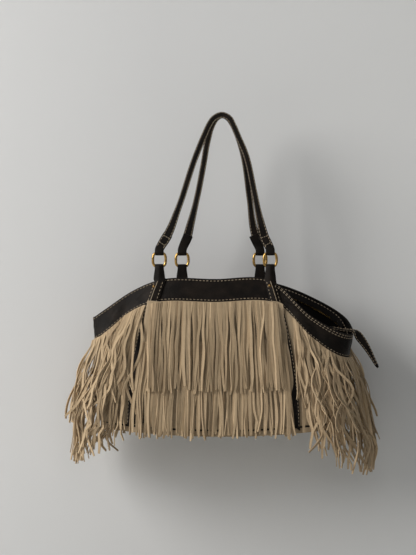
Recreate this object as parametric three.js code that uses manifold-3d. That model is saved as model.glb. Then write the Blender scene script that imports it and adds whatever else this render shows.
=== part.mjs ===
// A suede shoulder bag with two rows of long fringe, leather bands and straps, brass rings and two
// handles, as it hangs by both handles. Millimetres, +X to the right as the front is seen, -Y to the
// front, +Z up. The origin is the hanging point, under the tops of the two handles.
import * as THREE from "three";
import { mergeVertices } from "three/addons/utils/BufferGeometryUtils.js";
import Module from "manifold-3d";

const wasm = await Module();
wasm.setup();

// Heights
const HANDLE_DROP = 208; // hanging point down to the upper bar of the rings
const RING_HEIGHT = 25; // outside
const RING_WIDTH = 23; // outside
const RING_CORNER = 4; // radius at the middle of the wire
const WIRE_RADIUS = 1.6;
const TAB_RISE = 19; // lower bar of the rings above the band's top edge
const BAND_HEIGHT = 36;
const BODY_HEIGHT = 243; // top edge of the band down to the base, at the middle
const BASE_SAG = 12; // the middle of the base hangs lower than its ends

// Plan of the mouth, at the top edge
const FRONT_STRAP_LEFT_X = -98;
const FRONT_STRAP_RIGHT_X = 74;
const BACK_STRAP_LEFT_X = -63;
const BACK_STRAP_RIGHT_X = 59;
const MOUTH_DEPTH = 50; // between the front straps and the back ones
const LEFT_WING_RUN = 100; // straps to the closed fold
const LEFT_WING_DROP = 59;
const RIGHT_WING_RUN = 127; // straps to the open end
const RIGHT_WING_DROP = 83;
const RIGHT_WING_BACK_LIFT = 20; // the back wing stands above the slumped front one
const FOLD_DEPTH = 10; // the left wing's two sides at its fold
const OPEN_END_DEPTH = 48; // the right wing's end

// Plan of the base
const BASE_LEFT_X = -183;
const BASE_RIGHT_X = 177;
const BASE_DEPTH = 112;
const BASE_STRAP_LEFT_X = -143;
const BASE_STRAP_RIGHT_X = 114;
const BACK_BASE_STRAP_LEFT_X = -128;
const BACK_BASE_STRAP_RIGHT_X = 108;
const BELLY = 5; // how far the walls swell halfway down

// Leather and suede
const LINING_THICKNESS = 1;
const LINING_BELOW_EDGE = 2;
const PANEL_THICKNESS = 2.3;
const STRAP_THICKNESS = 2;
const STRAP_WIDTH_TOP = 18;
const STRAP_WIDTH_BASE = 26;
const STRAP_RETURN = 24; // the strap's folded end, down inside the mouth
const RING_SIDE_CLEARANCE = 1.3; // from the leather to a ring's upright sides
const LOOP_OVERLAP = 6; // the strap's flat part reaches this far up its loop
const LOOP_FOOT = 2.5; // the loop's upright sides start this far above the band's edge
const SEAM_GAP = 0.3;
const STRAP_GAP = 0.5; // between a strap and the wall under it
const LAYER_GAP = 0.8; // between the wall, the lower fringe and the upper one
const FRINGE_BESIDE_STRAP = 2.2;
const FRINGE_CLEAR_OF_STRAP = 0.34; // places round the bag without a column, beside each strap

// Base edge
const BASE_LIP = 8; // the base panel turns up this far
const PIPING_RADIUS = 1.1;

// Fringe
const STRAND_LENGTH = 137;
const SECOND_ROW_BELOW_BAND = 61;
const FRINGE_THICKNESS = 3;
const LEFT_FLARE = 46; // how far the strands swing out at the left fold
const RIGHT_FLARE = 54; // and at the right end

// Handles
const HANDLE_END_WIDTH = 18;
const HANDLE_END_THICKNESS = 4;
const HANDLE_MIDDLE_WIDTH = 10.5;
const HANDLE_MIDDLE_THICKNESS = 9;
const HANDLE_SPACING = 11; // the two handles side by side at the hanging point
const HANDLE_RETURN = 28; // the end folded back up behind each ring
const HANDLE_LEATHER = 2;
const HANDLE_FOLDING = 0.26; // share of the handle over which it goes from flat to folded
const HANDLE_STRAIGHT = 6; // the folded end stands upright this far above the ring's bar
const HANDLE_THROAT = 9; // the fold closes on itself this far above the bar

// Zip
const TAPE_DEPTH = 14;
const TAPE_THICKNESS = 1.2;
const TAPE_BELOW_EDGE = 4;
const TAPE_INSIDE = 3.3; // from the lining's inner face
const TAPE_FROM_FOLD = 1.45; // places round the bag between the fold and the tapes' ends
const TAPE_MEETING = 1; // places over which the tapes draw together
const SLIDER_GAP = 0.4; // from the slider to each tape
const SLIDER_LENGTH = 11;
const SLIDER_WIDTH = 7;
const SLIDER_PLATE = 1.2;
const SLIDER_HEIGHT = 5;
const SLIDER_POST = [2, 2.4]; // along and across
const SLIDER_TAIL = 0.6; // the narrow end's share of the width
const BOW_RADIUS = 3.4;
const BOW_EYE = 1;
const BOW_WIDTH = 3;
const SLIDER_FROM_FOLD = 34; // level distance
const SLIDER_BELOW_EDGE = 11;
const PULLER_LENGTH = 24;
const PULLER_HANG = 3; // its top below the slider's underside
const PULLER_WIDTH = 6;
const PULLER_NECK = 0.25; // its top's share of that width
const PULLER_THICKNESS = 1.4;
const TAIL_WIDTH = 14;
const TAIL_THICKNESS = 2.6;
const TAIL_INSIDE = 30; // how much of the tail lies in the mouth
const TAIL_REACH = 38; // past the open end
const TAIL_FALL = 50; // below the end's top edge
const TAIL_Y = -9; // it crosses the end a little to the front
const TAIL_RISE = 5; // its inner end lies this much higher than where it crosses
const TAIL_TIP = 0.7; // the tip's share of the width

// Rivets
const RIVET_RADIUS = 4;
const RIVET_HEIGHT = 2;
const RIVET_BELOW_EDGE = 10;
const RIVET_OFFSET = 3; // from the strap's middle

const LOOP_WIDTH = RING_WIDTH - 4 * WIRE_RADIUS - 2 * RING_SIDE_CLEARANCE;
const LOWER_BAR_Z = -HANDLE_DROP - RING_HEIGHT + 2 * WIRE_RADIUS;
const BAND_TOP_Z = LOWER_BAR_Z - TAB_RISE;
const BASE_Z = BAND_TOP_Z - BODY_HEIGHT;
const BAND_INNER = LINING_THICKNESS + SEAM_GAP;
const BAND_OUTER = BAND_INNER + PANEL_THICKNESS;
const STRAP_INNER = BAND_OUTER + STRAP_GAP;
const STRAP_OUTER = STRAP_INNER + STRAP_THICKNESS;
const RING_LAYER = BAND_OUTER / 2; // the rings hang over the middle of the wall's thickness
const LOOP_INNER = STRAP_INNER - RING_LAYER;
const LOOP_OUTER = LOOP_INNER + STRAP_THICKNESS;
const LOWER_FRINGE_INNER = BAND_OUTER + LAYER_GAP;
const UPPER_FRINGE_INNER = LOWER_FRINGE_INNER + FRINGE_THICKNESS + LAYER_GAP;

const suede = new THREE.MeshStandardMaterial({ color: 0xa08c72, roughness: 0.95 });
const leather = new THREE.MeshStandardMaterial({ color: 0x1d1917, roughness: 0.55 });
const cloth = new THREE.MeshStandardMaterial({ color: 0x1a1816, roughness: 0.9 });
const brass = new THREE.MeshStandardMaterial({ color: 0xa67c33, roughness: 0.3, metalness: 1 });

// A smooth closed line through points, at whole numbers of u. Between two points it is a cubic whose
// slope at each point is that of the parabola through the point and its two neighbours.
function closedLine(points) {
  const count = points.length;
  const at = (i) => points[((i % count) + count) % count];
  const chord = (i) => Math.hypot(...at(i).map((v, k) => at(i + 1)[k] - v));
  const slope = (i) => {
    const before = chord(i - 1);
    const after = chord(i);
    return at(i).map((v, k) => {
      const back = (v - at(i - 1)[k]) / before;
      const ahead = (at(i + 1)[k] - v) / after;
      return (back * after + ahead * before) / (before + after);
    });
  };
  return (u) => {
    const i = Math.floor(u);
    const t = u - i;
    const length = chord(i);
    const start = slope(i);
    const end = slope(i + 1);
    return at(i).map((v, k) => {
      const next = at(i + 1)[k];
      return (
        v * (2 * t ** 3 - 3 * t ** 2 + 1) +
        next * (3 * t ** 2 - 2 * t ** 3) +
        start[k] * length * (t ** 3 - 2 * t ** 2 + t) +
        end[k] * length * (t ** 3 - t ** 2)
      );
    });
  };
}

// The places round the bag that the two outlines share, counted from the middle of the front.
const AROUND = {
  frontRightStrap: 1,
  openEnd: 4,
  backRightStrap: 7,
  backLeftStrap: 9,
  fold: 12,
  frontLeftStrap: 15,
  count: 16,
};
const COLUMNS_PER_PLACE = [5, 5, 4, 3, 3, 4, 5, 5, 5, 5, 4, 3, 3, 4, 6, 6];

// The outlines below give the wings' points as shares of their run and drop, read off the photograph.
const mouthHalf = MOUTH_DEPTH / 2;
const foldX = FRONT_STRAP_LEFT_X - LEFT_WING_RUN;
const foldZ = BAND_TOP_Z - LEFT_WING_DROP;
const openX = FRONT_STRAP_RIGHT_X + RIGHT_WING_RUN;
const openZ = BAND_TOP_Z - RIGHT_WING_DROP;
const strapZ = BAND_TOP_Z - 1.5;
const mouthLine = closedLine([
  [(FRONT_STRAP_LEFT_X + FRONT_STRAP_RIGHT_X) / 2, -mouthHalf - 3, BAND_TOP_Z],
  [FRONT_STRAP_RIGHT_X, -mouthHalf, strapZ],
  [openX - RIGHT_WING_RUN * 0.48, -mouthHalf - 11, openZ + RIGHT_WING_DROP * 0.29],
  [openX - RIGHT_WING_RUN * 0.09, -OPEN_END_DEPTH * 0.54, openZ - 2],
  [openX, 0, openZ],
  [openX - RIGHT_WING_RUN * 0.06, OPEN_END_DEPTH * 0.46, openZ + RIGHT_WING_BACK_LIFT],
  [openX - RIGHT_WING_RUN * 0.53, mouthHalf + 2, openZ + RIGHT_WING_BACK_LIFT + 38],
  [BACK_STRAP_RIGHT_X, mouthHalf, strapZ],
  [(BACK_STRAP_LEFT_X + BACK_STRAP_RIGHT_X) / 2, mouthHalf + 5, BAND_TOP_Z],
  [BACK_STRAP_LEFT_X, mouthHalf, strapZ],
  [foldX + LEFT_WING_RUN * 0.6, mouthHalf * 0.46, foldZ + LEFT_WING_DROP * 0.68],
  [foldX + LEFT_WING_RUN * 0.08, FOLD_DEPTH / 2, foldZ + LEFT_WING_DROP * 0.1],
  [foldX, 0, foldZ],
  [foldX + LEFT_WING_RUN * 0.08, -FOLD_DEPTH / 2, foldZ + LEFT_WING_DROP * 0.1],
  [foldX + LEFT_WING_RUN * 0.56, -mouthHalf * 0.46, foldZ + LEFT_WING_DROP * 0.66],
  [FRONT_STRAP_LEFT_X, -mouthHalf, strapZ],
]);

const baseHalf = BASE_DEPTH / 2;
const cornerHalf = BASE_DEPTH * 0.34;
const shoulderHalf = BASE_DEPTH * 0.45;
const baseLine = closedLine([
  [(BASE_STRAP_LEFT_X + BASE_STRAP_RIGHT_X) / 2, -baseHalf],
  [BASE_STRAP_RIGHT_X, -baseHalf + 1],
  [BASE_STRAP_RIGHT_X + (BASE_RIGHT_X - BASE_STRAP_RIGHT_X) * 0.55, -shoulderHalf],
  [BASE_RIGHT_X - 5, -cornerHalf],
  [BASE_RIGHT_X, 0],
  [BASE_RIGHT_X - 5, cornerHalf],
  [BACK_BASE_STRAP_RIGHT_X + (BASE_RIGHT_X - BACK_BASE_STRAP_RIGHT_X) * 0.58, shoulderHalf],
  [BACK_BASE_STRAP_RIGHT_X, baseHalf - 1],
  [(BACK_BASE_STRAP_LEFT_X + BACK_BASE_STRAP_RIGHT_X) / 2, baseHalf],
  [BACK_BASE_STRAP_LEFT_X, baseHalf - 1],
  [BACK_BASE_STRAP_LEFT_X + (BASE_LEFT_X - BACK_BASE_STRAP_LEFT_X) * 0.5, shoulderHalf],
  [BASE_LEFT_X + 6, cornerHalf],
  [BASE_LEFT_X, 0],
  [BASE_LEFT_X + 6, -cornerHalf],
  [BASE_STRAP_LEFT_X + (BASE_LEFT_X - BASE_STRAP_LEFT_X) * 0.5, -shoulderHalf],
  [BASE_STRAP_LEFT_X, -baseHalf + 1],
]);

const smooth = (t) => {
  const s = Math.min(1, Math.max(0, t));
  return s * s * (3 - 2 * s);
};
const mix = (a, b, t) => a + (b - a) * t;

// The height of the base's underside below x.
const baseHeight = (x) => BASE_Z + BASE_SAG * (x / BASE_RIGHT_X) ** 2;

// How far the wall reaches below its top edge, at u.
const wallDepth = (u) => mouthLine(u)[2] - baseHeight(baseLine(u)[0]);

// The plan of the wall at u, h below its top edge: it goes over from the mouth's outline to the
// base's, evenly in y and early in x, and hangs straight down below the base.
function plan(u, h) {
  const s = Math.min(1, Math.max(0, h / wallDepth(u)));
  const [topX, topY] = mouthLine(u);
  const [baseX, baseY] = baseLine(u);
  return [mix(topX, baseX, s * (2 - s)), mix(topY, baseY, s)];
}

// The level unit vector that points away from the bag at u and h.
function outward(u, h) {
  const step = 0.02;
  const [x0, y0] = plan(u - step, h);
  const [x1, y1] = plan(u + step, h);
  const length = Math.hypot(x1 - x0, y1 - y0);
  return [(y1 - y0) / length, (x0 - x1) / length];
}

// A point of the wall: u round the bag, h below the top edge, d outward from the lining's inner face.
function wall(u, h, d) {
  const [x, y] = plan(u, h);
  const [outX, outY] = outward(u, h);
  const swell = BELLY * Math.sin(Math.PI * Math.min(1, Math.max(0, h / wallDepth(u))));
  const away = d + swell;
  return new THREE.Vector3(x + outX * away, y + outY * away, mouthLine(u)[2] - h);
}

// The unit vector square to the wall's face at u and h.
function squareTo(u, h, d) {
  const around = wall(u + 0.02, h, d).sub(wall(u - 0.02, h, d));
  const down = wall(u, h + 1, d).sub(wall(u, h - 1, d));
  return down.cross(around).normalize();
}

// The place round the bag that lies a distance along the wall from u.
function along(u, h, distance) {
  const step = 0.02;
  const a = wall(u - step, h, BAND_OUTER);
  const b = wall(u + step, h, BAND_OUTER);
  return u + (distance * 2 * step) / Math.hypot(b.x - a.x, b.y - a.y);
}

// The strands swing away from the wall round both ends of the bag, and more the lower they are.
function flare(u, h) {
  const nearOpen = Math.abs(u - AROUND.openEnd);
  const nearFold = Math.abs(u - AROUND.fold);
  const reach = 2.6;
  const ends =
    RIGHT_FLARE * smooth(1 - nearOpen / reach) + LEFT_FLARE * smooth(1 - nearFold / reach);
  return ends * smooth((h - BAND_HEIGHT) / STRAND_LENGTH);
}

// Every column of the wall from one place to another, both ends included. u runs past the count
// where a piece lies across the middle of the front. Columns nearer to an end than clear are left out.
function columnsBetween(from, to, clear = 0.04) {
  const columns = [from];
  for (let place = Math.floor(from); place < to; place++) {
    const steps = COLUMNS_PER_PLACE[place % AROUND.count];
    for (let i = 0; i < steps; i++) {
      const u = place + i / steps;
      if (u > from + clear && u < to - clear) columns.push(u);
    }
  }
  return [...columns, to];
}

const rowsBetween = (from, to, steps) =>
  Array.from({ length: steps + 1 }, (_, i) => mix(from, to, i / steps));

function meshOf(name, positions, indices, material) {
  const geometry = new THREE.BufferGeometry();
  geometry.setAttribute("position", new THREE.Float32BufferAttribute(positions, 3));
  geometry.setIndex(indices);
  geometry.computeVertexNormals();
  const mesh = new THREE.Mesh(geometry, material);
  mesh.name = name;
  return mesh;
}

// A closed solid between two like grids of points. point(i, j, k) gives the one in column i and row j,
// k being 0 on the inner face and 1 on the outer one. It may run right round, and its last row may
// draw in to one point on each face.
function block(columns, rows, point, { round = false, poles = null } = {}) {
  const positions = [];
  const indices = [];
  for (let k = 0; k < 2; k++)
    for (let j = 0; j < rows; j++)
      for (let i = 0; i < columns; i++) positions.push(...point(i, j, k).toArray());
  const at = (i, j, k) => (k * rows + j) * columns + (i % columns);
  const quad = (a, b, c, d) => indices.push(a, b, c, a, c, d);
  const across = round ? columns : columns - 1;
  for (let i = 0; i < across; i++) {
    for (let j = 0; j < rows - 1; j++) {
      quad(at(i, j, 1), at(i, j + 1, 1), at(i + 1, j + 1, 1), at(i + 1, j, 1));
      quad(at(i, j, 0), at(i + 1, j, 0), at(i + 1, j + 1, 0), at(i, j + 1, 0));
    }
    quad(at(i, 0, 0), at(i, 0, 1), at(i + 1, 0, 1), at(i + 1, 0, 0));
    const last = rows - 1;
    if (!poles) quad(at(i, last, 0), at(i + 1, last, 0), at(i + 1, last, 1), at(i, last, 1));
  }
  if (!round)
    for (let j = 0; j < rows - 1; j++) {
      const last = columns - 1;
      quad(at(0, j, 0), at(0, j + 1, 0), at(0, j + 1, 1), at(0, j, 1));
      quad(at(last, j, 0), at(last, j, 1), at(last, j + 1, 1), at(last, j + 1, 0));
    }
  if (poles) {
    const inner = positions.length / 3;
    positions.push(...poles[0].toArray(), ...poles[1].toArray());
    for (let i = 0; i < columns; i++) {
      indices.push(at(i, rows - 1, 1), inner + 1, at(i + 1, rows - 1, 1));
      indices.push(at(i, rows - 1, 0), at(i + 1, rows - 1, 0), inner);
    }
  }
  return { positions, indices };
}

// A sheet of the wall between two places and two heights. bottom(u) lets its lower edge follow
// another line, ends(h) keeps its two ends clear of a strap, swing lets it hang away from the wall as
// the strands do, and move changes each finished point.
function sheet(from, to, rows, inner, outer, options = {}) {
  const { bottom = null, ends = null, swing = false, move = (point) => point } = options;
  const columns = columnsBetween(from, to, ends ? FRINGE_CLEAR_OF_STRAP : undefined);
  const innerAt = typeof inner === "function" ? inner : () => inner;
  const outerAt = typeof outer === "function" ? outer : () => outer;
  const top = rows[0];
  const span = rows[rows.length - 1] - top;
  return block(columns.length, rows.length, (i, j, k) => {
    let u = columns[i];
    let h = rows[j];
    if (bottom) h = top + ((rows[j] - top) / span) * (bottom(u) - top);
    if (i === 0) u = along(u, h, ends ? ends(h) : SEAM_GAP / 2);
    if (i === columns.length - 1) u = along(u, h, ends ? -ends(h) : -SEAM_GAP / 2);
    const d = k ? outerAt(h) : innerAt(h);
    return move(wall(u, h, swing ? d + flare(columns[i], h) : d), columns[i], k);
  });
}

const solids = [];
function add(name, { positions, indices }, material) {
  solids.push(meshOf(name, positions, indices, material));
}

// A solid for joining and cutting, from the points and faces of a block.
function toManifold({ positions, indices }) {
  const geometry = new THREE.BufferGeometry();
  geometry.setAttribute("position", new THREE.Float32BufferAttribute(positions, 3));
  geometry.setIndex(indices);
  const merged = mergeVertices(geometry, 1e-4);
  return new wasm.Manifold(
    new wasm.Mesh({
      numProp: 3,
      vertProperties: merged.attributes.position.array,
      triVerts: new Uint32Array(merged.index.array),
    }),
  );
}

function joined(...blocks) {
  const whole = blocks.map(toManifold).reduce((sum, part) => sum.add(part));
  const { vertProperties, triVerts } = whole.getMesh();
  return { positions: Array.from(vertProperties), indices: Array.from(triVerts) };
}

const PANELS = [
  ["front", AROUND.frontLeftStrap, AROUND.count + AROUND.frontRightStrap],
  ["right", AROUND.frontRightStrap, AROUND.backRightStrap],
  ["back", AROUND.backRightStrap, AROUND.backLeftStrap],
  ["left", AROUND.backLeftStrap, AROUND.frontLeftStrap],
];
const PANEL_TOP = BAND_HEIGHT + SEAM_GAP;
const PANEL_ROWS = 5;
const wallEnd = (u) => wallDepth(u) - BASE_LIP - 2 * PIPING_RADIUS - 2 * SEAM_GAP;

// The leather bands round the mouth, and the suede panels under them.
function bandsAndPanels() {
  for (const [side, from, to] of PANELS) {
    const bandRows = rowsBetween(0, BAND_HEIGHT, 2);
    add(`${side}_band`, sheet(from, to, bandRows, BAND_INNER, BAND_OUTER), leather);
    const panelRows = rowsBetween(PANEL_TOP, BODY_HEIGHT, PANEL_ROWS);
    const panel = sheet(from, to, panelRows, BAND_INNER, BAND_OUTER, { bottom: wallEnd });
    add(`${side}_panel`, panel, suede);
  }
}

// Half the width of a strap, h below the top edge.
const strapHalf = (h) =>
  mix(STRAP_WIDTH_TOP, STRAP_WIDTH_BASE, Math.max(0, h / BODY_HEIGHT)) / 2;

// Two rows of fringe on each side. The strands of the upper row lie over those of the lower row.
function fringes() {
  const besideStrap = (h) => strapHalf(Math.min(h, BODY_HEIGHT)) + FRINGE_BESIDE_STRAP;
  const upperTop = BAND_HEIGHT + SEAM_GAP;
  const lowerTop = BAND_HEIGHT + SECOND_ROW_BELOW_BAND;
  const upperEnd = upperTop + STRAND_LENGTH;
  const shared = [lowerTop, (lowerTop + upperEnd) / 2, upperEnd];
  const upperRows = [upperTop, (upperTop + lowerTop) / 2, ...shared];
  const lowerEnd = lowerTop + STRAND_LENGTH;
  const lowerRows = [...shared, (upperEnd + lowerEnd) / 2, lowerEnd];
  const upperInner = (h) =>
    mix(LOWER_FRINGE_INNER, UPPER_FRINGE_INNER, smooth((h - upperTop) / (lowerTop - upperTop - 6)));
  for (const [side, from, to] of PANELS) {
    const options = { ends: besideStrap, swing: true };
    const upper = sheet(
      from,
      to,
      upperRows,
      upperInner,
      (h) => upperInner(h) + FRINGE_THICKNESS,
      options,
    );
    const lower = sheet(
      from,
      to,
      lowerRows,
      LOWER_FRINGE_INNER,
      LOWER_FRINGE_INNER + FRINGE_THICKNESS,
      options,
    );
    add(`${side}_upper_fringe`, upper, suede);
    add(`${side}_lower_fringe`, lower, suede);
  }
}

// A closed loop round the bag's base, and shells that draw in to the middle of the base.
const allColumns = columnsBetween(0, AROUND.count).slice(0, -1);

function tray(sideRows, inner, outer, floorInner, floorOuter) {
  const sides = sideRows(0, 0).length;
  const shares = [0.72, 0.36];
  const middle = new THREE.Vector3((BASE_LEFT_X + BASE_RIGHT_X) / 2, 0, 0);
  const floorPoint = (u, share, k) => {
    const edge = wall(u, wallDepth(u), k ? outer : inner);
    const point = new THREE.Vector3(mix(middle.x, edge.x, share), edge.y * share, 0);
    point.z = baseHeight(point.x) + (k ? floorOuter : floorInner);
    return point;
  };
  const point = (i, j, k) => {
    const u = allColumns[i];
    if (j >= sides) return floorPoint(u, shares[j - sides], k);
    const depth = wallDepth(u) - (k ? floorOuter : floorInner);
    return wall(u, sideRows(u, depth)[j], k ? outer : inner);
  };
  const poles = [floorInner, floorOuter].map(
    (lift) => new THREE.Vector3(middle.x, 0, baseHeight(middle.x) + lift),
  );
  return block(allColumns.length, sides + shares.length, point, { round: true, poles });
}

// The cloth lining hangs inside the walls, and the base panel's lip meets them under the piping.
function liningAndBase() {
  const floor = PANEL_THICKNESS + SEAM_GAP + LINING_THICKNESS;
  const liningRows = (u, depth) => [
    LINING_BELOW_EDGE,
    BAND_HEIGHT / 2,
    ...rowsBetween(BAND_HEIGHT, depth, PANEL_ROWS),
  ];
  const lipRows = (u, depth) => [wallDepth(u) - BASE_LIP, depth];
  add("lining", tray(liningRows, 0, LINING_THICKNESS, floor, floor - LINING_THICKNESS), cloth);
  add("base_panel", tray(lipRows, BAND_INNER, BAND_OUTER, PANEL_THICKNESS, 0), suede);
}

// The piping is a thin leather cord in the seam between the walls and the base.
function piping() {
  const sides = 6;
  const count = allColumns.length;
  const positions = [];
  const indices = [];
  for (const u of allColumns) {
    const h = wallDepth(u) - BASE_LIP - PIPING_RADIUS - SEAM_GAP;
    for (let k = 0; k < sides; k++) {
      const angle = (2 * Math.PI * k) / sides;
      const d = BAND_OUTER - PIPING_RADIUS + PIPING_RADIUS * Math.cos(angle);
      positions.push(...wall(u, h - PIPING_RADIUS * Math.sin(angle), d).toArray());
    }
  }
  for (let i = 0; i < count; i++)
    for (let k = 0; k < sides; k++) {
      const a = i * sides + k;
      const b = i * sides + ((k + 1) % sides);
      const c = ((i + 1) % count) * sides + k;
      const d = ((i + 1) % count) * sides + ((k + 1) % sides);
      indices.push(a, c, b, b, c, d);
    }
  add("base_piping", { positions, indices }, leather);
}

// A flat outline in Y and Z, carried across in X with its middle at x. Each point may be moved after.
function extrudeAcross(outline, x, width, move = (point) => point) {
  const shape = new THREE.Shape(outline.map(([y, z]) => new THREE.Vector2(y, z)));
  const geometry = new THREE.ExtrudeGeometry(shape, {
    depth: width,
    bevelEnabled: false,
    curveSegments: 8,
  });
  geometry.deleteAttribute("normal");
  geometry.deleteAttribute("uv");
  const merged = mergeVertices(geometry, 1e-4);
  const source = merged.attributes.position;
  const positions = [];
  for (let i = 0; i < source.count; i++) {
    const point = new THREE.Vector3(source.getZ(i) - width / 2 + x, source.getX(i), source.getY(i));
    positions.push(...move(point).toArray());
  }
  return { positions, indices: Array.from(merged.index.array) };
}

const arcPoints = (y, z, radius, start, end, steps) =>
  Array.from({ length: steps + 1 }, (_, i) => {
    const angle = mix(start, end, i / steps);
    return [y + radius * Math.cos(angle), z + radius * Math.sin(angle)];
  });

// Where the rings and straps stand: the place round the bag, x, and -1 at the front or 1 at the back.
const HANGERS = [
  ["front_left", AROUND.frontLeftStrap, FRONT_STRAP_LEFT_X, -1],
  ["front_right", AROUND.frontRightStrap, FRONT_STRAP_RIGHT_X, -1],
  ["back_left", AROUND.backLeftStrap, BACK_STRAP_LEFT_X, 1],
  ["back_right", AROUND.backRightStrap, BACK_STRAP_RIGHT_X, 1],
];
const ringY = (face) => face * (mouthHalf + RING_LAYER);

// Each strap is one strip of leather. It runs up from the base over the band, through its ring and
// back down inside the mouth.
function straps() {
  for (const [corner, place, x, face] of HANGERS) {
    const strip = (rows, inner, outer) => {
      const steps = 4;
      return block(steps + 1, rows.length, (i, j, k) => {
        const h = rows[j];
        const u = along(place, h, strapHalf(h) * (2 * (i / steps) - 1));
        return wall(u, h, k ? outer : inner);
      });
    };
    const overPanel = rowsBetween(PANEL_TOP, wallEnd(place), PANEL_ROWS);
    const rows = [-LOOP_OVERLAP, ...rowsBetween(0, BAND_HEIGHT, 2), ...overPanel];
    const outside = strip(rows, STRAP_INNER, STRAP_OUTER);
    const returnRows = [-LOOP_OVERLAP, 0, STRAP_RETURN];
    const inside = strip(returnRows, -LAYER_GAP - STRAP_THICKNESS, -LAYER_GAP);
    const y = ringY(face);
    const foot = strapZ + LOOP_FOOT;
    const outline = [
      [y - LOOP_OUTER, foot],
      [y - LOOP_INNER, foot],
      ...arcPoints(y, LOWER_BAR_Z, LOOP_INNER, Math.PI, 0, 8),
      [y + LOOP_INNER, foot],
      [y + LOOP_OUTER, foot],
      ...arcPoints(y, LOWER_BAR_Z, LOOP_OUTER, 0, Math.PI, 8),
    ].reverse();
    const loop = extrudeAcross(outline, x, LOOP_WIDTH);
    add(`${corner}_strap`, joined(outside, inside, loop), leather);
  }
}

// Each ring is a brass wire bent to a rounded oblong, which stands on its lower bar in its strap.
function rings() {
  const halfWidth = RING_WIDTH / 2 - WIRE_RADIUS;
  const height = RING_HEIGHT - 2 * WIRE_RADIUS;
  for (const [corner, , x, face] of HANGERS) {
    const path = new THREE.CurvePath();
    const at = (px, pz) => new THREE.Vector3(x + px, ringY(face), LOWER_BAR_Z + pz);
    const corners = [
      [halfWidth, 0],
      [halfWidth, height],
      [-halfWidth, height],
      [-halfWidth, 0],
    ];
    corners.forEach(([px, pz], i) => {
      const [beforeX, beforeZ] = corners[(i + 3) % 4];
      const [nextX, nextZ] = corners[(i + 1) % 4];
      const toward = (ax, az, bx, bz) => {
        const length = Math.hypot(bx - ax, bz - az);
        const share = RING_CORNER / length;
        return at(mix(ax, bx, share), mix(az, bz, share));
      };
      const start = toward(px, pz, beforeX, beforeZ);
      const leave = toward(px, pz, nextX, nextZ);
      const arrive = toward(nextX, nextZ, px, pz);
      path.add(new THREE.QuadraticBezierCurve3(start, at(px, pz), leave));
      path.add(new THREE.LineCurve3(leave, arrive));
    });
    add(`${corner}_ring`, wire(path, WIRE_RADIUS, 28, 6), brass);
  }
}

// A closed round wire along a closed path that lies in a plane across Y.
function wire(path, radius, steps, sides) {
  const positions = [];
  const indices = [];
  for (let i = 0; i < steps; i++) {
    const t = i / steps;
    const point = path.getPointAt(t);
    const ahead = path.getPointAt((t + 0.004) % 1).sub(path.getPointAt((t + 0.996) % 1)).normalize();
    const side = new THREE.Vector3(-ahead.z, 0, ahead.x);
    for (let k = 0; k < sides; k++) {
      const angle = (2 * Math.PI * (k + 0.5)) / sides;
      const across = side.clone().multiplyScalar(radius * Math.cos(angle));
      positions.push(
        point.x + across.x,
        point.y + radius * Math.sin(angle),
        point.z + across.z,
      );
    }
  }
  for (let i = 0; i < steps; i++)
    for (let k = 0; k < sides; k++) {
      const a = i * sides + k;
      const b = i * sides + ((k + 1) % sides);
      const c = ((i + 1) % steps) * sides + k;
      const d = ((i + 1) % steps) * sides + ((k + 1) % sides);
      indices.push(a, c, b, b, c, d);
    }
  return { positions, indices };
}

// How each leg of a handle spreads: pairs of its share of the ring's distance from the middle and its
// share of the drop.
const FRONT_LEFT_LEG = [
  [0.22, 0.085],
  [0.46, 0.31],
  [0.74, 0.68],
  [0.92, 0.9],
];
const FRONT_RIGHT_LEG = [
  [0.3, 0.06],
  [0.5, 0.24],
  [0.66, 0.55],
  [0.84, 0.88],
];
const BACK_LEFT_LEG = [
  [0.26, 0.06],
  [0.5, 0.36],
  [0.74, 0.78],
  [0.86, 0.92],
];
const BACK_RIGHT_LEG = [
  [0.32, 0.06],
  [0.52, 0.24],
  [0.72, 0.6],
  [0.88, 0.9],
];

const UPPER_BAR_Z = -HANDLE_DROP;
const HANDLE_TOP_Z = HANDLE_MIDDLE_THICKNESS / 2 + 0.6;

// The middle line of a handle, from its left ring over the top to its right ring.
function handleLine(leftX, rightX, face, leftLeg, rightLeg) {
  const topY = (face * HANDLE_SPACING) / 2;
  const place = (x, [out, down]) => {
    const y = mix(topY, ringY(face), down);
    return new THREE.Vector3(x * out, y, HANDLE_TOP_Z + (UPPER_BAR_Z - HANDLE_TOP_Z) * down);
  };
  return new THREE.CatmullRomCurve3(
    [
      place(leftX, [0.99, 0.965]),
      ...[...leftLeg].reverse().map((share) => place(leftX, share)),
      new THREE.Vector3(0, topY, HANDLE_TOP_Z),
      ...rightLeg.map((share) => place(rightX, share)),
      place(rightX, [0.99, 0.965]),
    ],
    false,
    "centripetal",
  );
}

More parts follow.
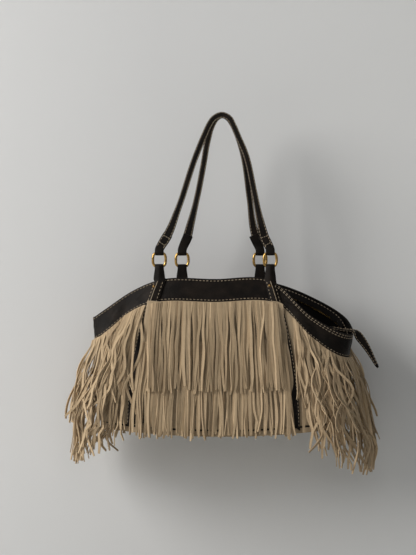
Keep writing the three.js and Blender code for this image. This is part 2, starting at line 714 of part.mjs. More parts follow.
// A handle is flat at its ends and folded narrow along its middle. Each end goes through its ring and
// is folded back up against itself.
function handle(name, leftX, rightX, face, leftLeg, rightLeg) {
  const line = handleLine(leftX, rightX, face, leftLeg, rightLeg);
  const steps = 32;
  const sides = 8;
  const positions = [];
  const indices = [];
  const across = new THREE.Vector3(0, 1, 0);
  for (let i = 0; i <= steps; i++) {
    const t = i / steps;
    const point = line.getPointAt(t);
    const ahead = line.getTangentAt(t);
    const flat = new THREE.Vector3().crossVectors(across, ahead).normalize();
    const deep = new THREE.Vector3().crossVectors(ahead, flat);
    const middle = smooth((0.5 - Math.abs(t - 0.5)) / HANDLE_FOLDING);
    const halfWidth = mix(HANDLE_END_WIDTH, HANDLE_MIDDLE_WIDTH, middle) / 2;
    const halfDepth = mix(HANDLE_END_THICKNESS, HANDLE_MIDDLE_THICKNESS, middle) / 2;
    for (let k = 0; k < sides; k++) {
      const angle = (2 * Math.PI * (k + 0.5)) / sides;
      const round = Math.cos(Math.PI / sides);
      const w = (halfWidth * Math.cos(angle)) / round;
      const d = (halfDepth * Math.sin(angle)) / round;
      positions.push(...point.clone().addScaledVector(flat, w).addScaledVector(deep, d).toArray());
    }
  }
  for (let i = 0; i < steps; i++)
    for (let k = 0; k < sides; k++) {
      const a = i * sides + k;
      const b = i * sides + ((k + 1) % sides);
      indices.push(a, b, a + sides, b, b + sides, a + sides);
    }
  for (let k = 1; k < sides - 1; k++) {
    const last = steps * sides;
    indices.push(0, k + 1, k, last, last + k, last + k + 1);
  }
  const y = ringY(face);
  const rise = HANDLE_RETURN;
  const half = HANDLE_LEATHER;
  const outer = LOOP_INNER + HANDLE_LEATHER;
  const outline = [
    ...arcPoints(y, UPPER_BAR_Z, outer, Math.PI, 2 * Math.PI, 10),
    [y + half, UPPER_BAR_Z + HANDLE_THROAT],
    [y + half, UPPER_BAR_Z + rise],
    [y - half, UPPER_BAR_Z + rise],
    [y - half, UPPER_BAR_Z + HANDLE_THROAT],
  ];
  const eye = arcPoints(y, UPPER_BAR_Z, LOOP_INNER, 0, 2 * Math.PI, 12).slice(0, -1);
  const eyeWidth = LOOP_WIDTH * 2;
  const footLength = 0.06;
  const fold = (x) => {
    const start = line.getPointAt(x < 0 ? 0 : 1);
    const next = line.getPointAt(x < 0 ? footLength : 1 - footLength);
    const lean = (next.x - start.x) / (next.z - start.z);
    const back = (next.y - start.y) / (next.z - start.z);
    const bend = (point) => {
      const up = Math.max(0, point.z - UPPER_BAR_Z - HANDLE_STRAIGHT);
      return point.add(new THREE.Vector3(lean * up, back * up, 0));
    };
    const solid = toManifold(extrudeAcross(outline, x, LOOP_WIDTH, bend));
    return solid.subtract(toManifold(extrudeAcross(eye, x, eyeWidth)));
  };
  const body = toManifold({ positions, indices });
  const whole = body
    .subtract(toManifold(extrudeAcross(eye, leftX, eyeWidth)))
    .subtract(toManifold(extrudeAcross(eye, rightX, eyeWidth)))
    .add(fold(leftX))
    .add(fold(rightX));
  const { vertProperties, triVerts } = whole.getMesh();
  const made = { positions: Array.from(vertProperties), indices: Array.from(triVerts) };
  add(name, made, leather);
}

// A brass rivet holds each strap to the band. Only its round cap shows.
function rivets() {
  const cap = [
    [0, 0],
    [RIVET_RADIUS, 0],
    [RIVET_RADIUS, RIVET_HEIGHT * 0.35],
    [RIVET_RADIUS * 0.7, RIVET_HEIGHT * 0.8],
    [0, RIVET_HEIGHT],
  ].map(([r, height]) => new THREE.Vector2(r, height));
  for (const [corner, place, , face] of HANGERS) {
    const u = along(place, RIVET_BELOW_EDGE, face * RIVET_OFFSET);
    const mesh = new THREE.Mesh(new THREE.LatheGeometry(cap, 12), brass);
    mesh.position.copy(wall(u, RIVET_BELOW_EDGE, STRAP_OUTER + SEAM_GAP));
    const up = new THREE.Vector3(0, 1, 0);
    mesh.quaternion.setFromUnitVectors(up, squareTo(u, RIVET_BELOW_EDGE, STRAP_OUTER));
    mesh.name = `${corner}_rivet`;
    solids.push(mesh);
  }
}

// The two tapes of the open zip, inside the mouth. Near the fold they leave the wall and draw
// together to the two sides of the slider.
function zipTapes() {
  const meet = (face) => (point, u, k) => {
    const away = smooth((Math.abs(u - AROUND.fold) - TAPE_FROM_FOLD) / TAPE_MEETING);
    const beside = SLIDER_WIDTH / 2 + SLIDER_GAP + k * TAPE_THICKNESS;
    point.y = mix(face * beside, point.y, away);
    return point;
  };
  const rows = [TAPE_BELOW_EDGE, TAPE_BELOW_EDGE + TAPE_DEPTH];
  const inner = -TAPE_INSIDE - TAPE_THICKNESS;
  const open = AROUND.openEnd;
  const front = [AROUND.fold + TAPE_FROM_FOLD, AROUND.count + open - 1];
  const back = [open + 1, AROUND.fold - TAPE_FROM_FOLD];
  const tape = (ends, face) => sheet(...ends, rows, inner, -TAPE_INSIDE, { move: meet(face) });
  add("zip_tape_front", tape(front, -1), cloth);
  add("zip_tape_back", tape(back, 1), cloth);
}

// The line that the slider runs along, up the closed wing from near the fold.
const wingSlope = Math.atan2(LEFT_WING_DROP * 0.86, LEFT_WING_RUN);
const sliderX = foldX + SLIDER_FROM_FOLD;
const sliderZ = foldZ + LEFT_WING_DROP * 0.38 - SLIDER_BELOW_EDGE;

// The slider is two plates on a post, with a bow for the puller.
function slider() {
  const plate = new THREE.Shape();
  const half = SLIDER_LENGTH / 2;
  const wide = SLIDER_WIDTH / 2;
  const narrow = wide * SLIDER_TAIL;
  plate.moveTo(-half, -narrow);
  plate.lineTo(half * 0.3, -wide);
  plate.lineTo(half, -wide);
  plate.lineTo(half, wide);
  plate.lineTo(half * 0.3, wide);
  plate.lineTo(-half, narrow);
  plate.closePath();
  const level = (z, depth, shape) => {
    const geometry = new THREE.ExtrudeGeometry(shape, { depth, bevelEnabled: false });
    geometry.translate(0, 0, z);
    return fromGeometry(geometry);
  };
  const post = new THREE.BoxGeometry(...SLIDER_POST, SLIDER_HEIGHT - SLIDER_PLATE);
  const bow = new THREE.Shape();
  bow.absarc(0, 0, BOW_RADIUS, 0, Math.PI, false);
  const eye = new THREE.Path();
  eye.absarc(0, BOW_EYE * 1.3, BOW_EYE, 0, 2 * Math.PI, true);
  bow.holes.push(eye);
  const bowGeometry = new THREE.ExtrudeGeometry(bow, {
    depth: BOW_WIDTH,
    bevelEnabled: false,
    curveSegments: 8,
  });
  const into = SLIDER_PLATE / 3;
  bowGeometry.translate(0, 0, -BOW_WIDTH / 2);
  bowGeometry.rotateX(Math.PI);
  bowGeometry.translate(-half * 0.2, 0, into - SLIDER_HEIGHT / 2);
  const made = joined(
    level(-SLIDER_HEIGHT / 2, SLIDER_PLATE, plate),
    level(SLIDER_HEIGHT / 2 - SLIDER_PLATE, SLIDER_PLATE, plate),
    fromGeometry(post),
    fromGeometry(bowGeometry),
  );
  const mesh = meshOf("zip_slider", made.positions, made.indices, brass);
  mesh.rotation.y = -wingSlope;
  mesh.position.set(sliderX, 0, sliderZ);
  solids.push(mesh);
}

function fromGeometry(geometry) {
  geometry.deleteAttribute("normal");
  geometry.deleteAttribute("uv");
  const merged = mergeVertices(geometry, 1e-4);
  return {
    positions: Array.from(merged.attributes.position.array),
    indices: Array.from(merged.index.array),
  };
}

// The leather tail of the zip lies in the mouth and hangs out over the open end, turned on edge
// towards its tip.
function zipTail() {
  const rest = openZ + TAIL_THICKNESS / 2 + LAYER_GAP;
  const line = new THREE.CatmullRomCurve3([
    new THREE.Vector3(openX - TAIL_INSIDE, TAIL_Y, rest + TAIL_RISE),
    new THREE.Vector3(openX - TAIL_INSIDE * 0.4, TAIL_Y, rest + TAIL_RISE * 0.32),
    new THREE.Vector3(openX + 3, TAIL_Y, rest),
    new THREE.Vector3(openX + TAIL_REACH * 0.4, TAIL_Y, rest - TAIL_FALL * 0.27),
    new THREE.Vector3(openX + TAIL_REACH, TAIL_Y, rest - TAIL_FALL),
  ]);
  const steps = 14;
  const point = (i, j, k) => {
    const t = i / steps;
    const ahead = line.getTangentAt(t);
    const flat = new THREE.Vector3().crossVectors(new THREE.Vector3(0, 1, 0), ahead).normalize();
    const side = new THREE.Vector3(0, 1, 0);
    const halfWidth = (TAIL_WIDTH / 2) * (i === steps ? TAIL_TIP : 1);
    const place = line.getPointAt(t);
    place.addScaledVector(side, halfWidth * (2 * j - 1));
    return place.addScaledVector(flat, (k - 0.5) * TAIL_THICKNESS);
  };
  add("zip_tail", block(steps + 1, 2, point), leather);
}

// The puller hangs from the slider's bow.
function puller() {
  const shape = new THREE.Shape();
  const half = PULLER_WIDTH / 2;
  shape.moveTo(-half * PULLER_NECK, 0);
  shape.lineTo(-half, -PULLER_LENGTH * 0.3);
  shape.lineTo(-half, -PULLER_LENGTH);
  shape.lineTo(half, -PULLER_LENGTH);
  shape.lineTo(half, -PULLER_LENGTH * 0.3);
  shape.lineTo(half * PULLER_NECK, 0);
  shape.closePath();
  const geometry = new THREE.ExtrudeGeometry(shape, {
    depth: PULLER_THICKNESS,
    bevelEnabled: false,
  });
  geometry.translate(0, 0, -PULLER_THICKNESS / 2);
  geometry.rotateX(Math.PI / 2);
  const made = fromGeometry(geometry);
  const mesh = meshOf("zip_puller", made.positions, made.indices, brass);
  mesh.position.set(sliderX, 0, sliderZ - SLIDER_HEIGHT / 2 - PULLER_HANG);
  solids.push(mesh);
}

bandsAndPanels();
liningAndBase();
piping();
straps();
rings();
handle(
  "front_handle",
  FRONT_STRAP_LEFT_X,
  FRONT_STRAP_RIGHT_X,
  -1,
  FRONT_LEFT_LEG,
  FRONT_RIGHT_LEG,
);
handle("back_handle", BACK_STRAP_LEFT_X, BACK_STRAP_RIGHT_X, 1, BACK_LEFT_LEG, BACK_RIGHT_LEG);
fringes();
rivets();
zipTapes();
slider();
puller();
zipTail();

const bag = new THREE.Group();
bag.add(...solids);

export default bag;
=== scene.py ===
"""A suede shoulder bag with two rows of long fringe, hanging by its two handles.

Sizes are in millimetres in the frame of the CAD model: the origin is the hanging point, +X to the
right as the front is seen, -Y to the front, +Z up. to_mesh turns them into metres.
"""
import math

import bpy
import numpy as np
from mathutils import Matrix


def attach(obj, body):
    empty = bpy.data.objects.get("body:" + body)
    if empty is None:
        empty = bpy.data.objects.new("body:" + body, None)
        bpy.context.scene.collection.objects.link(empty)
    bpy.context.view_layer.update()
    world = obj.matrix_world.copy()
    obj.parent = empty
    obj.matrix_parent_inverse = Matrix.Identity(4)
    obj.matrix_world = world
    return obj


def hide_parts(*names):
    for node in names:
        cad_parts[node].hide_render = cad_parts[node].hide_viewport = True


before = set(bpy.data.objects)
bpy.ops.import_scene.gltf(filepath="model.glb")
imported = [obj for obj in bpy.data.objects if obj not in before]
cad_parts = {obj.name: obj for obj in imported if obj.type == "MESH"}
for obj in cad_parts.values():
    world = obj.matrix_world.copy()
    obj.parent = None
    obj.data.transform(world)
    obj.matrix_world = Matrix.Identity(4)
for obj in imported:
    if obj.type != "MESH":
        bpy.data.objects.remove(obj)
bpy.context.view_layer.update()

MM = 0.001

# Heights
HANDLE_DROP = 208  # hanging point down to the upper bar of the rings
RING_HEIGHT = 25
RING_WIDTH = 23
WIRE_RADIUS = 1.6
DRAWN_WIRE_RADIUS = 2.05  # the rings are drawn in thicker wire than the CAD model's
TAB_RISE = 19  # lower bar of the rings above the band's top edge
BAND_HEIGHT = 36
BODY_HEIGHT = 243
BASE_SAG = 12  # the middle of the base hangs lower than its ends
LOWER_BAR_Z = -HANDLE_DROP - RING_HEIGHT + 2 * WIRE_RADIUS
BAND_TOP_Z = LOWER_BAR_Z - TAB_RISE
BASE_Z = BAND_TOP_Z - BODY_HEIGHT
STRAP_Z = BAND_TOP_Z - 1.5

# Plan of the mouth and of the base
FRONT_STRAPS = (-98, 74)
BACK_STRAPS = (-63, 59)
MOUTH_HALF = 25
LEFT_WING_RUN, LEFT_WING_DROP = 100, 59
RIGHT_WING_RUN, RIGHT_WING_DROP = 127, 83
BACK_LIFT = 20  # the open wing's back stands above its slumped front
FOLD_HALF = 5
OPEN_END_DEPTH = 48
BASE_LEFT_X, BASE_RIGHT_X = -183, 177
BASE_HALF = 56
FRONT_BASE_STRAPS = (-143, 114)
BACK_BASE_STRAPS = (-128, 108)
BELLY = 5

# Layers of the wall, outward from the lining's inner face
LINING = 1
BAND_INNER, BAND_OUTER = 1.3, 3.6
STRAP_INNER, STRAP_OUTER = 4.1, 6.1
LOWER_FRINGE, UPPER_FRINGE = 4.4, 8.2
TAPE_FACE, TAPE_FOOT = -4.5, 18
TAPE_FROM_FOLD, TAPE_MEETING = 1.45, 1  # places round the bag
SLIDER_WIDTH, SLIDER_GAP = 7, 0.4
RING_Y = MOUTH_HALF + BAND_OUTER / 2
BASE_LIP = 8
PIPING_RADIUS = 1.1

# Places round the bag, counted from the middle of the front
FRONT_RIGHT, OPEN_END, BACK_RIGHT, BACK_LEFT, FOLD, FRONT_LEFT, AROUND = 1, 4, 7, 9, 12, 15, 16
SIDES = {"front": (-1, 1), "right": (1, 7), "back": (7, 9), "left": (9, 15)}
HANGERS = (
    ("front_left", FRONT_LEFT, FRONT_STRAPS[0], -1),
    ("front_right", FRONT_RIGHT, FRONT_STRAPS[1], -1),
    ("back_left", BACK_LEFT, BACK_STRAPS[0], 1),
    ("back_right", BACK_RIGHT, BACK_STRAPS[1], 1),
)

# Fringe
STRAND_LENGTH = 137
SECOND_ROW = 61  # below the band
STRAND_WIDTH = 4
STRAND_STEPS = 14
LEFT_FLARE, RIGHT_FLARE = 42, 54

# Stitches
STITCH_PITCH = 5.5
STITCH_LENGTH = 3.5
THREAD_RADIUS = 0.5


def smooth(t):
    """0 below 0, 1 above 1, and an even S between them."""
    s = np.clip(t, 0, 1)
    return s * s * (3 - 2 * s)


def mix(a, b, t):
    """a where t is 0, b where t is 1, in proportion between."""
    return a + (b - a) * t


def unit(v):
    """Vectors drawn out or in to length 1."""
    return v / np.linalg.norm(v, axis=-1, keepdims=True)


def run_along(points):
    """The length along a line of points, from the first one to each."""
    return np.concatenate([[0], np.cumsum(np.linalg.norm(np.diff(points, axis=0), axis=1))])


def circle(count):
    """count angles, evenly round a circle."""
    return np.linspace(0, 2 * np.pi, count + 1)[:-1]


def oblong(angle, power):
    """Points of a superellipse: the angle's cosine and sine to a power, with their signs kept."""
    c, s = np.cos(angle), np.sin(angle)
    return np.sign(c) * np.abs(c) ** power, np.sign(s) * np.abs(s) ** power


def cubic(p, q, leaving, arriving, t):
    """The cubic from p at t = 0 to q at t = 1 that has the given slopes at its ends."""
    return (
        p * (2 * t**3 - 3 * t**2 + 1)
        + q * (3 * t**2 - 2 * t**3)
        + leaving * (t**3 - 2 * t**2 + t)
        + arriving * (t**3 - t**2)
    )


def closed_line(points):
    """A smooth closed line through points, at whole numbers of u.

    Between two points it is a cubic. Its slope at a point is that of the parabola through the point
    and its two neighbours, measured along the chords.
    """
    p = np.array(points, float)
    ahead = np.roll(p, -1, 0) - p
    after = np.linalg.norm(ahead, axis=1)[:, None]
    before = np.roll(after, 1, 0)
    back = np.roll(ahead, 1, 0)
    slope = (back / before * after + ahead / after * before) / (before + after)

    def at(u):
        u = np.asarray(u, float)
        i = np.floor(u).astype(int)
        t = (u - i)[..., None]
        i, j = i % len(p), (i + 1) % len(p)
        return cubic(p[i], p[j], slope[i] * after[i], slope[j] * after[i], t)

    return at


fold_x = FRONT_STRAPS[0] - LEFT_WING_RUN
fold_z = BAND_TOP_Z - LEFT_WING_DROP
open_x = FRONT_STRAPS[1] + RIGHT_WING_RUN
open_z = BAND_TOP_Z - RIGHT_WING_DROP
mouth_line = closed_line([
    (sum(FRONT_STRAPS) / 2, -MOUTH_HALF - 3, BAND_TOP_Z),
    (FRONT_STRAPS[1], -MOUTH_HALF, STRAP_Z),
    (open_x - RIGHT_WING_RUN * 0.48, -MOUTH_HALF - 11, open_z + RIGHT_WING_DROP * 0.29),
    (open_x - RIGHT_WING_RUN * 0.09, -OPEN_END_DEPTH * 0.54, open_z - 2),
    (open_x, 0, open_z),
    (open_x - RIGHT_WING_RUN * 0.06, OPEN_END_DEPTH * 0.46, open_z + BACK_LIFT),
    (open_x - RIGHT_WING_RUN * 0.53, MOUTH_HALF + 2, open_z + BACK_LIFT + 38),
    (BACK_STRAPS[1], MOUTH_HALF, STRAP_Z),
    (sum(BACK_STRAPS) / 2, MOUTH_HALF + 5, BAND_TOP_Z),
    (BACK_STRAPS[0], MOUTH_HALF, STRAP_Z),
    (fold_x + LEFT_WING_RUN * 0.6, MOUTH_HALF * 0.46, fold_z + LEFT_WING_DROP * 0.68),
    (fold_x + LEFT_WING_RUN * 0.08, FOLD_HALF, fold_z + LEFT_WING_DROP * 0.1),
    (fold_x, 0, fold_z),
    (fold_x + LEFT_WING_RUN * 0.08, -FOLD_HALF, fold_z + LEFT_WING_DROP * 0.1),
    (fold_x + LEFT_WING_RUN * 0.56, -MOUTH_HALF * 0.46, fold_z + LEFT_WING_DROP * 0.66),
    (FRONT_STRAPS[0], -MOUTH_HALF, STRAP_Z),
])

corner_y = BASE_HALF * 0.68
shoulder_y = BASE_HALF * 0.9
base_line = closed_line([
    (sum(FRONT_BASE_STRAPS) / 2, -BASE_HALF),
    (FRONT_BASE_STRAPS[1], -BASE_HALF + 1),
    (mix(FRONT_BASE_STRAPS[1], BASE_RIGHT_X, 0.55), -shoulder_y),
    (BASE_RIGHT_X - 5, -corner_y),
    (BASE_RIGHT_X, 0),
    (BASE_RIGHT_X - 5, corner_y),
    (mix(BACK_BASE_STRAPS[1], BASE_RIGHT_X, 0.58), shoulder_y),
    (BACK_BASE_STRAPS[1], BASE_HALF - 1),
    (sum(BACK_BASE_STRAPS) / 2, BASE_HALF),
    (BACK_BASE_STRAPS[0], BASE_HALF - 1),
    (mix(BACK_BASE_STRAPS[0], BASE_LEFT_X, 0.5), shoulder_y),
    (BASE_LEFT_X + 6, corner_y),
    (BASE_LEFT_X, 0),
    (BASE_LEFT_X + 6, -corner_y),
    (mix(FRONT_BASE_STRAPS[0], BASE_LEFT_X, 0.5), -shoulder_y),
    (FRONT_BASE_STRAPS[0], -BASE_HALF + 1),
])


def base_height(x):
    """The base's underside: lowest in the middle, rising as the square of x towards both ends."""
    return BASE_Z + BASE_SAG * (x / BASE_RIGHT_X) ** 2


def wall_depth(u):
    """How far the wall reaches below its top edge at u."""
    return mouth_line(u)[..., 2] - base_height(base_line(u)[..., 0])


def plan(u, h):
    """The wall's x and y at u, h below its top edge.

    They go over from the mouth's outline to the base's, evenly in y and early in x, and hang
    straight down below the base.
    """
    s = np.clip(h / wall_depth(u), 0, 1)
    top, foot = mouth_line(u), base_line(u)
    return np.stack([mix(top[..., 0], foot[..., 0], s * (2 - s)), mix(top[..., 1], foot[..., 1], s)], -1)


def outward(u, h):
    """The level unit vector that points away from the bag, square to the plan's slope at u."""
    step = 0.02
    run = unit(plan(u + step, h) - plan(u - step, h))
    return np.stack([run[..., 1], -run[..., 0], np.zeros(run.shape[:-1])], -1)


def wall(u, h, d):
    """Points of the wall: u round the bag, h below its top edge, d outward from the lining's face.

    Halfway down, the wall swells outward by BELLY more.
    """
    u, h, d = np.broadcast_arrays(*(np.asarray(v, float) for v in (u, h, d)))
    swell = BELLY * np.sin(np.pi * np.clip(h / wall_depth(u), 0, 1))
    flat = plan(u, h)
    z = mouth_line(u)[..., 2] - h
    return np.concatenate([flat, z[..., None]], -1) + outward(u, h) * (d + swell)[..., None]


def scale_at(u, h):
    """Millimetres along the wall for each place round the bag."""
    step = 0.02
    run = wall(u + step, h, BAND_OUTER) - wall(u - step, h, BAND_OUTER)
    return np.linalg.norm(run[..., :2], axis=-1) / (2 * step)


def even_places(u0, u1, h, pitch):
    """Places from u0 to u1 that lie about pitch apart along the wall at h."""
    fine = np.linspace(u0, u1, 400)
    length = run_along(wall(fine, h, BAND_OUTER))
    count = max(2, int(round(length[-1] / pitch)) + 1)
    return np.interp(np.linspace(0, length[-1], count), length, fine)


def ripple(u, scale, seed, waves=5):
    """A smooth wander of about 1: a few sines of u with seeded speeds and starts, summed."""
    own = np.random.default_rng(seed)
    speed = own.uniform(0.4, 1, waves) * scale
    start = own.uniform(0, 2 * np.pi, waves)
    return np.sin(np.asarray(u)[..., None] * speed + start).sum(-1) / math.sqrt(waves / 2)


def grid_faces(rows, columns, loop_rows=False, loop_columns=False):
    """Quads over a grid of points, closed round either way where it loops."""
    i = np.arange(rows if loop_rows else rows - 1)[:, None]
    j = np.arange(columns if loop_columns else columns - 1)[None, :]
    i2, j2 = (i + 1) % rows, (j + 1) % columns
    corners = (i * columns + j, i2 * columns + j, i2 * columns + j2, i * columns + j2)
    return np.stack(np.broadcast_arrays(*corners), -1).reshape(-1, 4)


def tubes(rings, looped=False):
    """Closed tubes. rings[tube, step, side] are the corners of each tube's sections along its path."""
    rings = rings if rings.ndim == 4 else rings[None]
    count, steps, sides = rings.shape[:3]
    start = (np.arange(count) * steps * sides)[:, None, None]
    faces = [(grid_faces(steps, sides, looped, True)[None] + start).reshape(-1, 4)]
    if not looped:
        first = np.arange(sides)[::-1]
        last = np.arange(sides) + (steps - 1) * sides
        faces.append((np.stack([first, last])[None] + start).reshape(-1, sides))
    return rings.reshape(-1, 3), faces


def domed(rings, first_pole, last_pole):
    """A closed skin of rings[step, side], drawn in to a point at each end."""
    steps, sides = rings.shape[:2]
    count = steps * sides
    side = np.arange(sides)
    after = (side + 1) % sides
    first = np.stack([after, side, np.full(sides, count)], -1)
    last = np.stack([side, after, np.full(sides, count + 1)], -1)
    last[:, :2] += (steps - 1) * sides
    points = np.concatenate([rings.reshape(-1, 3), [first_pole], [last_pole]])
    return points, [grid_faces(steps, sides, False, True), np.concatenate([first, last])]


def volume(points, faces):
    """The signed volume inside closed faces, from the triangles that each face fans into."""
    total = 0
    for part in faces:
        a = points[part[:, 0]]
        for k in range(1, part.shape[1] - 1):
            b, c = points[part[:, k]], points[part[:, k + 1]]
            total += np.einsum("ij,ij->i", a, np.cross(b, c)).sum() / 6
    return total


def in_scene(name, data):
    """A new object in the scene, at the origin."""
    obj = bpy.data.objects.new(name, data)
    bpy.context.scene.collection.objects.link(obj)
    return obj


def to_mesh(name, shapes, tones=None, sharp=42):
    """An object made of closed shapes, each a pair of points and faces, with every face outward.

    tones, where given, holds one number per point, kept as the attribute tone.
    """
    all_points, loops, sizes, start = [], [], [], 0
    for points, faces in shapes:
        turn = volume(points - points.mean(0), faces) < 0
        for part in faces:
            part = part[:, ::-1] if turn else part
            loops.append((part + start).ravel())
            sizes.append(np.full(len(part), part.shape[1]))
        all_points.append(points)
        start += len(points)
    points = np.concatenate(all_points) * MM
    loops, sizes = np.concatenate(loops), np.concatenate(sizes)
    mesh = bpy.data.meshes.new(name)
    mesh.vertices.add(len(points))
    mesh.vertices.foreach_set("co", points.ravel().astype(np.float32))
    mesh.loops.add(len(loops))
    mesh.loops.foreach_set("vertex_index", loops.astype(np.int32))
    mesh.polygons.add(len(sizes))
    mesh.polygons.foreach_set("loop_start", (np.cumsum(sizes) - sizes).astype(np.int32))
    mesh.update(calc_edges=True)
    mesh.validate()
    mesh.polygons.foreach_set("use_smooth", np.ones(len(mesh.polygons), bool))
    mesh.set_sharp_from_angle(angle=math.radians(sharp))
    if tones is not None:
        attribute = mesh.attributes.new("tone", "FLOAT", "POINT")
        attribute.data.foreach_set("value", np.asarray(tones, np.float32))
    return in_scene(name, mesh)


class Value:
    """A value in a material's node tree. Sums and products of values add Math nodes."""

    def __init__(self, finish, socket):
        self.finish = finish
        self.socket = socket

    def __add__(self, other):
        return self.finish.math("ADD", self, other)

    def __radd__(self, other):
        return self.finish.math("ADD", other, self)

    def __sub__(self, other):
        return self.finish.math("SUBTRACT", self, other)

    def __rsub__(self, other):
        return self.finish.math("SUBTRACT", other, self)

    def __mul__(self, other):
        return self.finish.math("MULTIPLY", self, other)

    def __rmul__(self, other):
        return self.finish.math("MULTIPLY", other, self)


class Finish:
    """A procedural material: one Principled shader and the nodes that feed it."""

    def __init__(self, name, **constants):
        self.material = bpy.data.materials.new(name)
        self.material.use_nodes = True
        self.tree = self.material.node_tree
        self.shader = self.tree.nodes["Principled BSDF"]
        for socket, value in constants.items():
            self.shader.inputs[socket.replace("_", " ")].default_value = value
        self.place = self.node("ShaderNodeTexCoord", out="Object")

    def node(self, kind, settings=None, inputs=None, out=0):
        """Adds a node and returns one of its outputs.

        Settings come first, a ramp's stops among them, then the values or links of its inputs.
        """
        node = self.tree.nodes.new(kind)
        for name, value in (settings or {}).items():
            if name == "stops":
                self.set_stops(node.color_ramp, value)
            else:
                setattr(node, name, value)
        for name, value in (inputs or {}).items():
            self.feed(node.inputs[name], value)
        return Value(self, node.outputs[out])

    @staticmethod
    def set_stops(ramp, stops):
        for (position, level), element in zip(stops, ramp.elements):
            element.position = position
            element.color = (level, level, level, 1)

    def feed(self, socket, value):
        if isinstance(value, Value):
            self.tree.links.new(value.socket, socket)
        else:
            socket.default_value = value

    def math(self, operation, a, b):
        return self.node("ShaderNodeMath", {"operation": operation}, {0: a, 1: b})

    def blend(self, factor, a, b, kind="MIX"):
        """The colour a where factor is 0 and b where it is 1."""
        settings = {"data_type": "RGBA", "blend_type": kind}
        return self.node("ShaderNodeMix", settings, {0: factor, 6: a, 7: b}, out=2)

    def stretched(self, scale, turn=(0, 0, 0)):
        """The piece's own coordinates, multiplied by scale after a turn."""
        inputs = {"Vector": self.place, "Scale": scale, "Rotation": turn}
        return self.node("ShaderNodeMapping", {"vector_type": "TEXTURE"}, inputs)

    def noise(self, size, detail=2, roughness=0.5, at=None):
        """Cloudy noise from 0 to 1 whose lumps are about size millimetres across."""
        inputs = {
            "Vector": at or self.place,
            "Scale": 1 / (size * MM),
            "Detail": detail,
            "Roughness": roughness,
        }
        return self.node("ShaderNodeTexNoise", None, inputs)

    def ramp(self, value, low, high):
        """0 where value is low or less, 1 where it is high or more."""
        inputs = {"Value": value, "From Min": low, "From Max": high}
        return self.node("ShaderNodeMapRange", {"clamp": True}, inputs)

    def set(self, **values):
        for socket, value in values.items():
            self.feed(self.shader.inputs[socket.replace("_", " ")], value)

    def bump(self, height, depth, strength=1):
        """Bumps the surface by height, where a height of 1 stands depth millimetres proud."""
        inputs = {"Height": height, "Distance": depth * MM, "Strength": strength}
        self.set(Normal=self.node("ShaderNodeBump", None, inputs))


def suede_finish(name, light, dark, tones=False):
    """Brushed suede: cloudy where the nap lies one way or the other, with a fine fibrous surface."""
    finish = Finish(name, Sheen_Weight=0.25, Sheen_Roughness=0.6, Sheen_Tint=(0.95, 0.85, 0.7, 1))
    cloud = finish.noise(38, 3, 0.6)
    nap = finish.noise(6, 4, 0.65)
    fibre = finish.noise(0.55, 3, 0.7)
    shade = cloud * 0.35 + nap * 0.4 + fibre * 0.25
    if tones:
        tone = finish.node("ShaderNodeAttribute", {"attribute_name": "tone"}, out="Fac")
        shade = shade * 0.6 + tone * 0.4
    shade = finish.ramp(shade, 0.3, 0.7)
    finish.set(Base_Color=finish.blend(shade, dark, light), Roughness=fibre * 0.1 + 0.86)
    finish.bump(fibre * 0.6 + nap * 0.4, 0.35, 0.8)
    return finish.material


def leather_finish(name, base=(0.0062, 0.0052, 0.0045, 1), worn=(0.021, 0.015, 0.011, 1)):
    """Dark polished leather: a pebbled grain, softly uneven gloss and browner worn patches."""
    finish = Finish(name, Specular_IOR_Level=0.08)
    pebble = finish.node(
        "ShaderNodeTexVoronoi",
        {"feature": "DISTANCE_TO_EDGE"},
        {"Vector": finish.place, "Scale": 1 / (2 * MM), "Randomness": 1},
    )
    grain = finish.ramp(pebble, 0, 0.22)
    pores = finish.noise(0.7, 3, 0.6)
    crease = finish.noise(9, 5, 0.62)
    patch = finish.ramp(finish.noise(26, 3, 0.6), 0.42, 0.72)
    finish.set(
        Base_Color=finish.blend(patch * 0.7 + pores * 0.2, base, worn),
        Roughness=0.34 + crease * 0.14 + pores * 0.08 - patch * 0.04,
    )
    finish.bump(grain * 0.6 + pores * 0.35 + crease * 0.9, 0.5, 0.6)
    return finish.material


def cloth_finish(name, base, thread, turn):
    """Woven cloth: two crossing sets of fine threads."""
    finish = Finish(name, Specular_IOR_Level=0.04)
    ribs = []
    for axis in ("X", "Z"):
        settings = {"wave_type": "BANDS", "bands_direction": axis}
        inputs = {"Vector": finish.stretched((1, 1, 1), (0, turn, 0)), "Scale": 0.32 / (thread * MM)}
        ribs.append(finish.node("ShaderNodeTexWave", settings, inputs, out="Fac"))
    weave = ribs[0] * ribs[1]
    lint = finish.noise(1.5, 3, 0.6)
    pale = tuple(c * 2.4 for c in base[:3]) + (1,)
    finish.set(Base_Color=finish.blend(weave * 0.6 + lint * 0.3, base, pale), Roughness=0.85 + lint * 0.1)
    finish.bump(weave, thread * 0.3, 0.7)
    return finish.material


def brass_finish(name, bright=(0.5, 0.31, 0.095, 1), dark=(0.2, 0.115, 0.035, 1)):
    """Aged brass: polished high spots, and a darker tarnish in clouds and specks."""
    finish = Finish(name, Metallic=1)
    tarnish = finish.ramp(finish.noise(5, 4, 0.65), 0.4, 0.75)
    specks = finish.ramp(finish.noise(0.8, 2, 0.5), 0.6, 0.75)
    dull = tarnish * 0.65 + specks * 0.25
    finish.set(
        Base_Color=finish.blend(dull, bright, dark),
        Roughness=0.2 + dull * 0.3,
    )
    finish.bump(finish.noise(1.2, 2, 0.5), 0.04, 0.5)
    return finish.material


